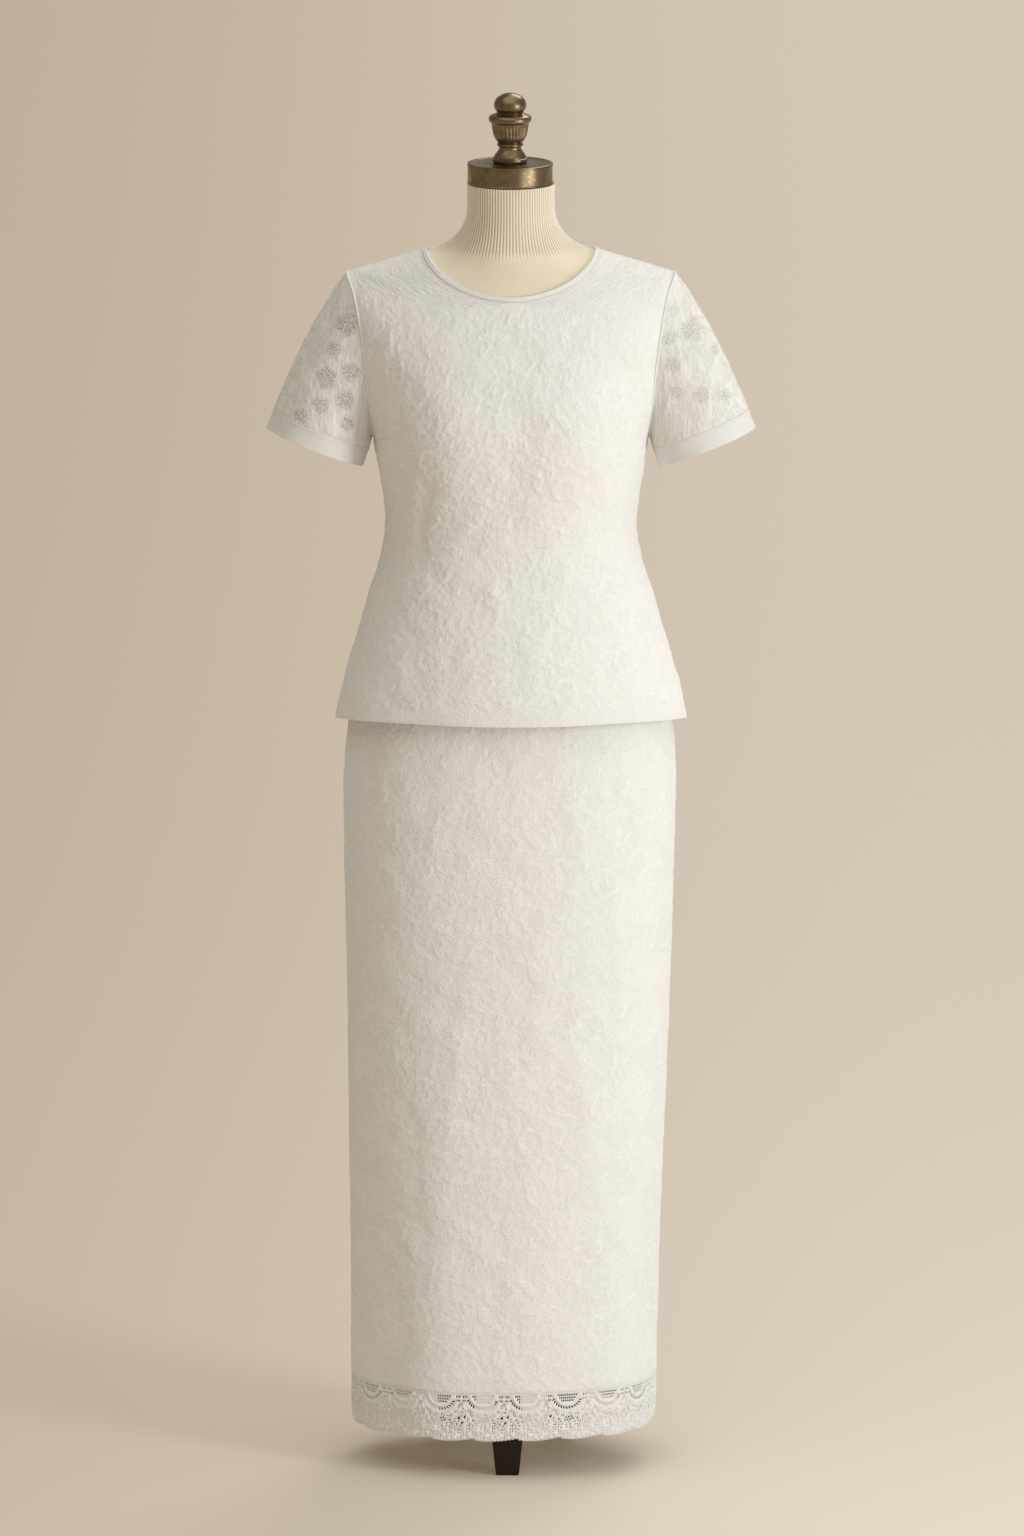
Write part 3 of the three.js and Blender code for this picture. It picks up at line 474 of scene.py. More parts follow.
class Shell:
    """A thin closed shell: a fine outer face, a coarser inner face and rims between them."""

    def __init__(self, step=3):
        self.step = step  # lines of the outer face to each line of the inner face
        self.points, self.faces, self.uvs, self.marks = [], [], [], []
        self.count = 0

    def add(self, points, uv, mark):
        """Adds the points of one face and returns their numbers."""
        first = self.count
        self.points.append(points.reshape(-1, 3))
        self.uvs.append(uv.reshape(-1, 2))
        self.marks.append(mark.reshape(-1))
        self.count += mark.size
        return first + np.arange(mark.size).reshape(mark.shape)

    def skin(self, index, flip):
        quads = quads_of(index)
        self.faces.extend((quads[:, ::-1] if flip else quads).tolist())

    def patch(self, outer, inner, u, v, mark, free):
        """Adds one grid. free names its open sides: low and high rows, left and right columns."""
        step, uv = self.step, np.stack((u, v), axis=-1)
        run = np.cross(outer[1:, :-1] - outer[:-1, :-1], outer[:-1, 1:] - outer[:-1, :-1])
        flip = np.sum(run * (outer - inner)[:-1, :-1]) > 0
        fine = self.add(outer, uv, mark)
        coarse = self.add(inner[::step, ::step], uv[::step, ::step], mark[::step, ::step])
        self.skin(fine, flip)
        self.skin(coarse, not flip)
        sides = {"low": (fine[0], coarse[0], False), "high": (fine[-1], coarse[-1], True),
                 "left": (fine[:, 0], coarse[:, 0], True), "right": (fine[:, -1], coarse[:, -1], False)}
        for name in free:
            long, short, turned = sides[name]
            for k in range(len(short) - 1):
                fine_side = long[k * step:(k + 1) * step + 1]
                face = [*fine_side[::-1].tolist(), int(short[k]), int(short[k + 1])]
                self.faces.append(face[::-1] if turned != flip else face)

    def mesh(self, name):
        points = np.concatenate(self.points) + POLE_AT
        return mesh_of(name, points, self.faces, np.concatenate(self.uvs), np.concatenate(self.marks))


@contextmanager
def edited(mesh):
    """A mesh opened for editing, and written back afterwards."""
    bm = bmesh.new()
    bm.from_mesh(mesh)
    yield bm
    bm.to_mesh(mesh)
    bm.free()


def finished(mesh, sharp=60):
    """Shades a mesh smooth, apart from edges sharper than an angle in degrees."""
    mesh.shade_smooth()
    mesh.set_sharp_from_angle(angle=math.radians(sharp))
    return mesh


# The relief attribute: the shaders read it for the lace's painted highlight on raised cords, the sleeves'
# painted flower shade, the jersey's painted groove shade and the border's darker ground.
def set_relief(mesh, marks):
    attribute = mesh.attributes.new("relief", "FLOAT", "POINT")
    attribute.data.foreach_set("value", marks.astype(np.float32))


def mesh_of(name, points, faces, uvs=None, marks=None, weld=True, sharp=50):
    """A smooth mesh in metres from millimetre points, with its cloth coordinates and its relief."""
    mesh = bpy.data.meshes.new(name)
    mesh.from_pydata((points * MM).tolist(), [], faces)
    if uvs is not None:
        corner = np.zeros(len(mesh.loops), np.int32)
        mesh.loops.foreach_get("vertex_index", corner)
        layer = mesh.uv_layers.new(name="cloth")
        layer.uv.foreach_set("vector", (uvs[corner] * MM).astype(np.float32).ravel())
    if marks is not None:
        set_relief(mesh, marks)
    if weld:
        with edited(mesh) as bm:
            bmesh.ops.remove_doubles(bm, verts=bm.verts, dist=2e-6)
    mesh.update()
    return finished(mesh, sharp)


def grid_mesh(name, grid, u, v, **more):
    """A mesh of one grid of points of the garment."""
    index = np.arange(u.size).reshape(u.shape)
    return mesh_of(name, grid.reshape(-1, 3) + POLE_AT, quads_of(index).tolist(),
                   np.stack((u, v), axis=-1).reshape(-1, 2), **more)


def in_scene(name, data):
    """A new object in the scene."""
    obj = bpy.data.objects.new(name, data)
    bpy.context.scene.collection.objects.link(obj)
    return obj


def evaluated_mesh(obj):
    """The plain mesh that an object's modifiers make."""
    bpy.context.view_layer.update()
    graph = bpy.context.evaluated_depsgraph_get()
    return bpy.data.meshes.new_from_object(obj.evaluated_get(graph))


def piece(name, mesh, slot, *nodes, finish=None):
    """Puts a finished mesh in the scene as one piece that stands for its frame nodes."""
    mesh.materials.clear()
    mesh.materials.append(finish or finish_for(slot))
    obj = in_scene(name, mesh)
    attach(obj, BODY)
    if nodes:
        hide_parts(*nodes)
    return obj


# ------ the lace's raised figure
class LaceFigure:
    """One square of all-over lace, as a height map that repeats: open blossoms, leaves and curled cords."""

    SIZE = 240  # mm across one repeat
    PITCH = 1.2  # mm between two samples
    CORD_STEP = 0.8  # mm between two rounds laid along a cord
    CLOSENESS = 0.82  # how near two figures may come, as a share of their radii
    TRIES = 14  # draws for each figure
    BLOSSOMS, SPRIGS, CURLS = (17, 16), (46, 10), (400, 5.0)  # how many, and the radius of each

    def __init__(self, seed, relief):
        self.relief = relief
        self.draw = np.random.default_rng(seed)
        self.count = int(self.SIZE / self.PITCH)
        self.height = np.zeros((self.count, self.count))
        self.taken = []
        kinds = (self.BLOSSOMS, self.blossom), (self.SPRIGS, self.sprig), (self.CURLS, self.curl)
        for (number, clear), make in kinds:
            for _ in range(number * self.TRIES):
                if self.placed(number, clear):
                    make(self.taken[-1][:2], clear)

    def placed(self, number, clear):
        """Takes a free spot for a figure of a given radius, if the next random one is free."""
        if sum(1 for spot in self.taken if spot[2] == clear) >= number:
            return False
        spot = self.draw.uniform(0, self.SIZE, 2)
        for x, y, other in self.taken:
            gap = np.abs(spot - (x, y))
            if np.hypot(*np.minimum(gap, self.SIZE - gap)) < (clear + other) * self.CLOSENESS:
                return False
        self.taken.append((*spot, clear))
        return True

    def cord(self, points, width, height=1.0):
        """Raises the map along a path of points, with a round top."""
        radius = width / 2
        reach = int(radius / self.PITCH) + 2
        run = run_along(points)
        at = np.linspace(0, run[-1], max(int(run[-1] / self.CORD_STEP), 2))
        path = np.stack([np.interp(at, run, points[:, axis]) for axis in (0, 1)], axis=1)
        window = np.arange(-reach, reach + 1)
        for x, y in path:
            i, j = int(round(x / self.PITCH)), int(round(y / self.PITCH))
            columns, rows = (i + window) % self.count, (j + window) % self.count
            dx = (i + window) * self.PITCH - x
            dy = (j + window) * self.PITCH - y
            round_top = np.clip(1 - (dx[None, :] ** 2 + dy[:, None] ** 2) / radius**2, 0, 1) ** 0.7 * height
            square = np.ix_(rows, columns)
            self.height[square] = np.maximum(self.height[square], round_top)

    def blossom(self, spot, radius):
        """Four or five open petals round a small heart."""
        petals = int(self.draw.integers(4, 6))
        turn = self.draw.uniform(0, 2 * np.pi)
        for petal in range(petals):
            out = turn + petal * 2 * np.pi / petals + self.draw.uniform(-0.3, 0.3)
            size = radius * self.draw.uniform(0.3, 0.46)
            sweep = self.draw.uniform(1.3, 2.2)
            angle = out + np.linspace(-sweep, sweep * self.draw.uniform(0.6, 1), 24)
            centre = spot + 0.55 * radius * np.array((np.cos(out), np.sin(out)))
            path = centre + size * pairs(np.cos(angle), np.sin(angle))
            self.cord(path, self.draw.uniform(2.8, 4.2), self.draw.uniform(0.5, 1.0))
        self.curl(spot, radius * 0.2)

    def sprig(self, spot, radius):
        """A leaf of two bent cords, one longer than the other."""
        turn = self.draw.uniform(0, 2 * np.pi)
        for side, share in ((-1, 1.0), (1, self.draw.uniform(0.45, 0.8))):
            t = np.linspace(0, share, 20)
            x = (t - 0.5) * radius * 2.0
            y = side * 0.34 * radius * np.sin(np.pi * t) + 0.22 * radius * np.sin(2 * np.pi * t)
            leaf = pairs(x * np.cos(turn) - y * np.sin(turn), x * np.sin(turn) + y * np.cos(turn))
            self.cord(spot + leaf, self.draw.uniform(2.8, 4.0), self.draw.uniform(0.5, 1.0))

    def curl(self, spot, radius):
        turn, sweep = self.draw.uniform(0, 2 * np.pi), self.draw.uniform(1.6, 3.6)
        size = radius * self.draw.uniform(0.65, 1.15)
        t = np.linspace(0, 1, 16)
        angle, reach = turn + sweep * t, size * (1 - 0.35 * t)
        path = pairs(reach * np.cos(angle), reach * np.sin(angle))
        self.cord(spot + path, self.draw.uniform(2.6, 3.6), self.draw.uniform(0.35, 0.9))

    def at(self, u, v):
        """Height of the figure at places of the cloth, from 0 to 1."""
        x, y = np.mod(u / self.PITCH, self.count), np.mod(v / self.PITCH, self.count)
        i, j = np.floor(x).astype(int), np.floor(y).astype(int)
        fx, fy = x - i, y - j
        i, j = i % self.count, j % self.count
        i2, j2 = (i + 1) % self.count, (j + 1) % self.count
        low = mix(self.height[j, i], self.height[j, i2], fx)
        high = mix(self.height[j2, i], self.height[j2, i2], fx)
        return mix(low, high, fy)


def ripple(u, v):
    """A slow uneven pucker of the cloth, between about -1 and 1."""
    return (np.sin(u / 9.5 + 1.3 * np.sin(v / 23)) * np.sin(v / 12.5 + 1.1 * np.sin(u / 19))
            + 0.6 * np.sin((u + v) / 15.5 + np.sin(v / 31)))


def edge_distance(points, edges):
    """Distance from each grid point to the nearest of the edge points."""
    samples = np.concatenate([edge.reshape(-1, 3) for edge in edges])
    tree = KDTree(len(samples))
    for i, sample in enumerate(samples):
        tree.insert(sample, i)
    tree.balance()
    flat = points.reshape(-1, 3)
    return np.array([tree.find(point)[2] for point in flat.tolist()]).reshape(points.shape[:-1])


# ------ finishes
class Finish:
    """A material that is put together from named nodes."""

    def __init__(self, name):
        self.material = bpy.data.materials.new(name)
        self.material.use_nodes = True
        self.tree = self.material.node_tree
        self.shader = next(node for node in self.tree.nodes if node.type == "BSDF_PRINCIPLED")

    def add(self, kind, settings=None, **inputs):
        """Adds a node. An input is a number, a colour, or another node's output; _0 names it by its place."""
        node = self.tree.nodes.new("ShaderNode" + kind)
        for key, value in (settings or {}).items():
            setattr(node, key, value)
        for key, value in inputs.items():
            self.give(node.inputs[int(key[1:]) if key[1:].isdigit() else key.replace("_", " ")], value)
        return node

    def give(self, socket, value):
        if isinstance(value, bpy.types.NodeSocket):
            self.tree.links.new(value, socket)
        else:
            socket.default_value = value

    def scaled(self, vector, scale):
        return self.add("VectorMath", {"operation": "SCALE"}, _0=vector, Scale=scale).outputs[0]

    def cloth(self):
        """The piece's own cloth coordinates, in millimetres."""
        return self.scaled(self.add("UVMap", {"uv_map": "cloth"}).outputs[0], 1 / MM)

    def place(self, scale=1 / MM):
        """The object's own coordinates, in millimetres unless scaled otherwise."""
        return self.scaled(self.add("TexCoord").outputs["Object"], scale)

    def noise(self, vector, scale, detail=2.0, distortion=0.0):
        return self.add("TexNoise", Vector=vector, Scale=scale, Detail=detail,
                        Distortion=distortion).outputs[0]

    def cells(self, vector, scale):
        return self.add("TexVoronoi", Vector=vector, Scale=scale).outputs["Distance"]

    def bands(self, vector, scale, direction, distortion):
        return self.add("TexWave", {"bands_direction": direction}, Vector=vector, Scale=scale,
                        Distortion=distortion).outputs["Fac"]

    def math(self, operation, a, b=0.0):
        return self.add("Math", {"operation": operation}, _0=a, _1=b).outputs[0]

    def spread(self, value, low, high, to_low=0.0, to_high=1.0):
        return self.add("MapRange", {"interpolation_type": "SMOOTHSTEP"}, Value=value, From_Min=low,
                        From_Max=high, To_Min=to_low, To_Max=to_high).outputs[0]

    def mixed(self, factor, a, b):
        return self.add("Mix", {"data_type": "RGBA"}, _0=factor, _6=a, _7=b).outputs[2]

    def clouded(self, value, low, high, a, b):
        """One colour turning into another as a value rises."""
        return self.mixed(self.spread(value, low, high), a, b)

    def bump(self, height, distance, strength, *under):
        """A bump, on top of another bump where one is given. Its distance is in metres."""
        node = self.add("Bump", Height=height, Distance=distance, Strength=strength)
        for normal in under:
            self.give(node.inputs["Normal"], normal)
        return node.outputs[0]

    def relief(self):
        return self.add("Attribute", {"attribute_name": "relief"}).outputs["Fac"]

    def wear(self, **inputs):
        """Sets the shader's own sockets."""
        for key, value in inputs.items():
            self.give(self.shader.inputs[key.replace("_", " ")], value)
        return self.material


def shade(colour, share):
    return (*(channel * share for channel in colour[:3]), 1.0)


def wandering_cords(finish, uv, size):
    """Fine wandering cords, along the lines where a noise crosses its middle."""
    noise = finish.noise(uv, 1 / size, 1.5, 0.8)
    return finish.spread(finish.math("ABSOLUTE", finish.math("SUBTRACT", noise, 0.5)), 0.0, 0.12, 1.0, 0.0)


# What the shaders of the cloths have in common.
CLOTH = {"Sheen_Roughness": 0.5, "Specular_IOR_Level": 0.2}
LACE_CORDS = 9.5  # mm across the curls of the lace cloth's fine cords
# Painted shade on the sleeves' flowers: the dark of the inside seen through their open mesh.
FLOWER_PAINTED_SHADE = (0.5, 0.455, 0.385, 1)  # the open mesh of the sleeves' flowers


def lace_finish(finish, colour):
    """Raised lace cloth: cords drawn brighter over a greyer net, partly the net's own colour and partly
    painted highlight on the raised cords; a fine knotted ground and a soft sheen.
    """
    uv = finish.cloth()
    cords = wandering_cords(finish, uv, LACE_CORDS)
    small = wandering_cords(finish, uv, LACE_CORDS * 0.45)
    relief = finish.relief()
    raised = finish.math("MAXIMUM", relief, finish.math("MULTIPLY", cords, 0.3))
    net = finish.cells(uv, 1 / 1.15)
    thread = finish.noise(uv, 1 / 0.55, 3.0)
    patches = finish.noise(uv, 1 / 46, 2.0)
    ground = finish.clouded(patches, 0.3, 0.7, shade(colour, 0.915), shade(colour, 0.955))
    # painted highlight: the raised figure and the fine shader cords are drawn brighter than the greyer net
    lit = finish.clouded(raised, 0.04, 0.75, ground, shade(colour, 1.01))
    tint = finish.mixed(finish.spread(thread, 0.35, 0.65, 0.0, 0.3), lit, shade(colour, 0.93))
    body = finish.bump(finish.math("ADD", cords, finish.math("MULTIPLY", small, 0.25)), 0.00055, 0.42)
    netted = finish.bump(net, 0.0004, 0.5, body)
    fine = finish.bump(thread, 0.0002, 0.4, netted)
    rough = finish.spread(raised, 0.0, 1.0, 0.95, 0.78)
    return finish.wear(Base_Color=tint, Normal=fine, Roughness=rough, Sheen_Weight=0.25,
                       Sheen_Roughness=0.55, Specular_IOR_Level=0.25)


def sheer_finish(finish, colour):
    """Thin see-through lace: a clear net with thicker sprays, and flowers worked in open mesh, darkened in
    specks with painted shade for the inside seen through them.
    """
    uv = finish.cloth()
    cords = wandering_cords(finish, uv, 8.0)
    thick = finish.spread(finish.noise(uv, 1 / 17, 3.0, 0.6), 0.42, 0.62)
    flower = finish.relief()
    speck = finish.spread(finish.noise(uv, 1 / 1.5, 2.0), 0.45, 0.55)
    net = finish.cells(uv, 1 / 1.2)
    solid = finish.math("MAXIMUM", finish.math("MULTIPLY", thick, 0.75), finish.math("MULTIPLY", cords, 0.6))
    closed = finish.spread(solid, 0.0, 1.0, 0.78, 0.94)
    opened = finish.spread(speck, 0.0, 1.0, 0.9, 0.5)
    cover = finish.add("Mix", _0=flower, _2=closed, _3=opened).outputs[0]
    lit = finish.mixed(solid, shade(colour, 0.93), shade(colour, 1.02))
    # painted shade: specks of the flowers are darkened, as the inside looks through the mesh
    worked = finish.mixed(finish.math("MULTIPLY", flower, speck), lit, FLOWER_PAINTED_SHADE)
    fine = finish.bump(net, 0.0003, 0.4, finish.bump(cords, 0.0006, 0.5))
    return finish.wear(Base_Color=worked, Normal=fine, Roughness=0.85, Sheen_Weight=0.2, Alpha=cover, **CLOTH)


def plain_finish(finish, colour, alpha=1.0):
    """Plain woven cloth, with the crossing threads of its weave and painted shade between them."""
    uv = finish.cloth()
    warp = finish.bands(uv, 0.42, "X", 0.4)
    weft = finish.bands(uv, 0.42, "Y", 0.4)
    weave = finish.math("MULTIPLY", warp, weft)
    slub = finish.noise(uv, 1 / 7, 3.0)
    lit = finish.clouded(slub, 0.35, 0.65, shade(colour, 0.93), shade(colour, 1.0))
    # painted shade: where the weave's bump dips between the threads, the colour is drawn darker
    weave_with_painted_shade = finish.clouded(weave, 0.0, 0.6, shade(colour, 0.9), lit)
    uneven = finish.bump(slub, 0.0005, 0.35, finish.bump(weave, 0.0002, 0.5))
    return finish.wear(Base_Color=weave_with_painted_shade, Normal=uneven, Roughness=0.82, Sheen_Weight=0.25,
                       Sheen_Roughness=0.5, Specular_IOR_Level=0.25, Alpha=alpha)


def thread_finish(finish, colour, ground=1.0):
    """Soft cotton thread with a slight twist, its fine hollows darkened with painted shade. ground is how
    bright the cloth under raised cords is.
    """
    here = finish.place()
    twist = finish.bands(here, 0.9, "DIAGONAL", 1.2)
    fuzz = finish.noise(here, 1 / 0.5, 3.0)
    tint = finish.noise(here, 1 / 20, 2.0)
    lit = finish.clouded(tint, 0.35, 0.65, shade(colour, 0.94), shade(colour, 1.02))
    # painted shade: where the fuzz's bump dips, the colour is drawn darker
    hollows_with_painted_shade = finish.clouded(fuzz, 0.3, 0.6, shade(colour, 0.88), lit)
    if ground < 1:
        hollows_with_painted_shade = finish.mixed(finish.relief(), shade(colour, ground), hollows_with_painted_shade)
    fine = finish.bump(fuzz, 0.0001, 0.4, finish.bump(twist, 0.00015, 0.5))
    return finish.wear(Base_Color=hollows_with_painted_shade, Normal=fine, Roughness=0.85, Sheen_Weight=0.25, **CLOTH)


def jersey_finish(finish, colour):
    """Fine knitted jersey: columns of small stitches, a little fuzz, slow changes of tone, and painted shade
    in the grooves between the neck's ribs.
    """
    here = finish.place()
    wales = finish.bands(here, 0.36, "X", 0.25)
    courses = finish.bands(here, 0.5, "Z", 0.25)
    knit = finish.math("MULTIPLY", wales, courses)
    fuzz = finish.noise(here, 1 / 0.7, 3.0)
    tone = finish.noise(here, 1 / 60, 2.0)
    lit = finish.clouded(tone, 0.3, 0.7, shade(colour, 0.93), shade(colour, 1.03))
    # painted shade: where the relief mark drops, in the grooves between the ribs, the colour is drawn dark
    rib_and_painted_groove_shade = finish.clouded(finish.relief(), 0.0, 0.7, shade(colour, 0.42), lit)
    worn = finish.mixed(finish.spread(fuzz, 0.4, 0.6, 0.0, 0.3), rib_and_painted_groove_shade, shade(colour, 0.86))
    fine = finish.bump(fuzz, 0.00015, 0.4, finish.bump(knit, 0.0002, 0.5))
    return finish.wear(Base_Color=worn, Normal=fine, Roughness=0.9, Sheen_Weight=0.3, **CLOTH)


def brass_finish(finish, colour):
    """Antique brass: brown patina in clouds, rubbed brighter in places, fine turning marks."""
    here = finish.place()
    clouds = finish.noise(here, 1 / 11, 4.0, 0.4)
    specks = finish.noise(here, 1 / 1.6, 3.0)
    rings = finish.bands(here, 0.9, "Z", 0.6)
    rubbed = finish.clouded(clouds, 0.3, 0.72, shade(colour, 0.78), shade(colour, 1.2))
    dark = finish.mixed(finish.spread(specks, 0.52, 0.7, 0.0, 0.3), rubbed, shade(colour, 0.45))
    rough = finish.spread(clouds, 0.3, 0.7, 0.34, 0.22)
    fine = finish.bump(specks, 0.0001, 0.25, finish.bump(rings, 0.00006, 0.35))
    return finish.wear(Base_Color=dark, Metallic=0.92, Roughness=rough, Normal=fine)


def steel_finish(finish, colour):
    """Dark bronzed tube with drawn scratches along it."""
    here = finish.place()
    drawn = finish.add("Mapping", _0=here, Scale=(1.0, 1.0, 0.02)).outputs[0]
    lines = finish.noise(drawn, 1 / 0.8, 3.0)
    clouds = finish.noise(here, 1 / 25, 3.0)
    lit = finish.clouded(lines, 0.35, 0.65, shade(colour, 0.8), shade(colour, 1.25))
    worn = finish.mixed(finish.spread(clouds, 0.5, 0.75, 0.0, 0.5), lit, shade(colour, 0.55))
    return finish.wear(Base_Color=worn, Metallic=0.9, Roughness=finish.spread(lines, 0.3, 0.7, 0.35, 0.5),
                       Normal=finish.bump(lines, 0.00008, 0.4))


def wood_finish(finish, colour):
    """Near-black stained wood with a satin coat; the grain shows only as the light catches it."""
    here = finish.place()
    drawn = finish.add("Mapping", _0=here, Scale=(1.0, 1.0, 0.12)).outputs[0]
    grain = finish.noise(drawn, 1 / 2.2, 4.0, 1.2)
    pores = finish.noise(drawn, 1 / 0.6, 2.0)
    lit = finish.clouded(grain, 0.3, 0.7, shade(colour, 0.5), shade(colour, 1.3))
    fine = finish.bump(pores, 0.0001, 0.3, finish.bump(grain, 0.00025, 0.4))
    return finish.wear(Base_Color=lit, Normal=fine, Roughness=finish.spread(grain, 0.3, 0.7, 0.42, 0.3),
                       Specular_IOR_Level=0.3)


# ------ geometry nodes
class Tree:
    """A geometry node tree with named inputs."""

    def __init__(self, name, **inputs):
        self.group = bpy.data.node_groups.new(name, "GeometryNodeTree")
        self.group.interface.new_socket("Geometry", in_out="INPUT", socket_type="NodeSocketGeometry")
        self.group.interface.new_socket("Geometry", in_out="OUTPUT", socket_type="NodeSocketGeometry")
        self.sockets = {}
        for key, kind in inputs.items():
            made = self.group.interface.new_socket(key.replace("_", " "), in_out="INPUT",
                                                   socket_type="NodeSocket" + kind)
            self.sockets[key] = made.identifier
        self.source = self.group.nodes.new("NodeGroupInput")
        self.result = self.group.nodes.new("NodeGroupOutput")

    def given(self, key):
        return self.source.outputs[key.replace("_", " ")]

    def math(self, kind, settings=None, links=None, **values):
        """Adds a node that works on numbers or vectors."""
        return self.add(kind, settings, links, "ShaderNode", **values)

    def add(self, kind, settings=None, links=None, family="GeometryNode", **values):
        """Adds a node. A link comes from an output, or from a node's first output."""
        node = self.group.nodes.new(family + kind)
        for key, value in (settings or {}).items():
            setattr(node, key, value)
        for key, value in values.items():
            node.inputs[key.replace("_", " ")].default_value = value
        for key, source in (links or {}).items():
            self.group.links.new(getattr(source, "outputs", [source])[0], node.inputs[key])
        return node

    def end(self, geometry):
        """Realizes the instances, gives them the material and ends the tree."""
        real = self.add("RealizeInstances", links={"Geometry": geometry})
        shown = self.add("SetMaterial",
                         links={"Geometry": real.outputs[0], "Material": self.given("Material")})
        self.group.links.new(shown.outputs[0], self.result.inputs[0])

    def run(self, mesh, **inputs):
        """Runs the tree on a mesh and returns the plain mesh that it makes."""
        holder = in_scene("holder", mesh)
        modifier = holder.modifiers.new("tree", "NODES")
        modifier.node_group = self.group
        for key, value in inputs.items():
            modifier[self.sockets[key]] = value
        made = evaluated_mesh(holder)
        bpy.data.objects.remove(holder)
        return made


def stitch_tree():
    """Short thread stitches laid end to end along a line."""
    tree = Tree("Stitch line", Step="Float", Length="Float", Thread="Float", Material="Material")
    line = tree.add("MeshToCurve", links={"Mesh": tree.given("Geometry")})
    spots = tree.add("CurveToPoints", {"mode": "LENGTH"}, {"Curve": line, "Length": tree.given("Step")})
    bead = tree.add("MeshUVSphere", Segments=6, Rings=4)
    size = tree.math("CombineXYZ",
                    links={"X": tree.given("Thread"), "Y": tree.given("Thread"), "Z": tree.given("Length")})
    half = tree.math("VectorMath", {"operation": "SCALE"}, {0: size}, Scale=0.5)
    laid = tree.add("InstanceOnPoints", links={
        "Points": spots.outputs["Points"], "Instance": bead.outputs["Mesh"],
        "Rotation": spots.outputs["Rotation"], "Scale": half})
    tree.end(laid)
    return tree


def welt_tree():
    """A round raised cord along a line."""
    tree = Tree("Welt", Radius="Float", Material="Material")
    line = tree.add("MeshToCurve", links={"Mesh": tree.given("Geometry")})
    ring = tree.add("CurvePrimitiveCircle", links={"Radius": tree.given("Radius")}, Resolution=8)
    cord = tree.add("CurveToMesh", links={"Curve": line, "Profile Curve": ring})
    tree.end(cord)
    return tree


def border_tree():
    """Repeats a flat length of lace along a line, then lays the strip on a guide by its cloth coordinates."""
    tree = Tree("Lace border", Guide="Object", Repeats="Int", Repeat_Width="Float", Material="Material")
    offset = tree.math("CombineXYZ", links={"X": tree.given("Repeat_Width")})
    spots = tree.add("MeshLine", links={"Count": tree.given("Repeats"), "Offset": offset})
    copies = tree.add("InstanceOnPoints", links={"Points": spots, "Instance": tree.given("Geometry")})
    strip = tree.add("RealizeInstances", links={"Geometry": copies})
    joined = tree.add("MergeByDistance", links={"Geometry": strip}, Distance=2e-6)
    place = tree.add("InputPosition")
    split = tree.math("SeparateXYZ", links={0: place})
    spot = tree.math("CombineXYZ", links={"X": split, "Y": split.outputs[1]})
    guide = tree.add("ObjectInfo", links={"Object": tree.given("Guide")})
    known = tree.add("InputNamedAttribute", {"data_type": "FLOAT_VECTOR"}, Name="cloth")
    normal = tree.add("InputNormal")

    def sampled(value):
        return tree.add("SampleUVSurface", {"data_type": "FLOAT_VECTOR"}, {
            "Mesh": guide.outputs["Geometry"], "Value": value, "Source UV Map": known,
            "Sample UV": spot})

    lift = tree.math("VectorMath", {"operation": "SCALE"},
                    {0: sampled(normal), "Scale": split.outputs[2]})
    onto = tree.math("VectorMath", {"operation": "ADD"}, {0: sampled(place), 1: lift})
    laid = tree.add("SetPosition", links={"Geometry": joined, "Position": onto})
    tree.end(laid)
    return tree


def line_mesh(points, closed=False):
    """A chain of edges in metres through millimetre points of the garment."""
    mesh = bpy.data.meshes.new("line")
    last = len(points) - 1
    edges = [(i, i + 1) for i in range(last)] + [(last, 0)] * closed
    mesh.from_pydata(((points + POLE_AT) * MM).tolist(), edges, [])
    return mesh


# ------ the tunic
TOP_HALF_COLUMNS = 90
TOP_LOW_ROWS = 147
TOP_CHEST_ROWS = 72
TOP_SHOULDER_ROWS = 42
TOP_COLUMNS_ROW = 0.75  # the row whose length the columns share evenly
TOP_WALL = 1.3
HEM_TURN = 13
HEM_RIDGE = 0.5  # how far the doubled hem stands out
TOP_RIPPLE = 0.45
TOP_FACE_UP = 0.35  # share of the relief that is left where the cloth faces up
EASED = ((UNDERARM_Z, 20), (SHOULDER_TIP_Z, 16))  # where the sections change kind, and how far round that
EASE_PASSES = 60
NECKLINE_QUARTER = 80  # points in each quarter of the neckline
# The binding's section: distance out from its inner edge, and height off the cloth.
BINDING_PROFILE = [
    (BINDING_WIDTH, -1.3), (BINDING_WIDTH + 0.1, 0.25), (BINDING_WIDTH - 0.8, 0.75), (4.2, 0.95), (3.2, 0.75),
    (2.5, 0.95), (1.4, 1.25), (0.4, 0.9), (-0.1, 0.1), (0.0, -1.0), (0.5, -1.5), (3.0, -1.5),
]
BINDING_PUCKER = 0.12


def top_columns():
    return both_sides(even_places(lambda s: lower_top(FRONT, s, np.full_like(s, TOP_COLUMNS_ROW)),
                                  TOP_HALF_COLUMNS))


def eased(points):
    """Smooths a tunic grid across the two levels where its sections change kind. Its edges stay."""
    z = points[1:-1, 1:-1, 2:]
    share = 0.5 * np.clip(sum(bell(z - level, width) for level, width in EASED), 0, 1)
    for _ in range(EASE_PASSES):
        around = (points[:-2, 1:-1] + points[2:, 1:-1] + points[1:-1, :-2] + points[1:-1, 2:]) / 4
        points[1:-1, 1:-1] += (around - points[1:-1, 1:-1]) * share
    return points


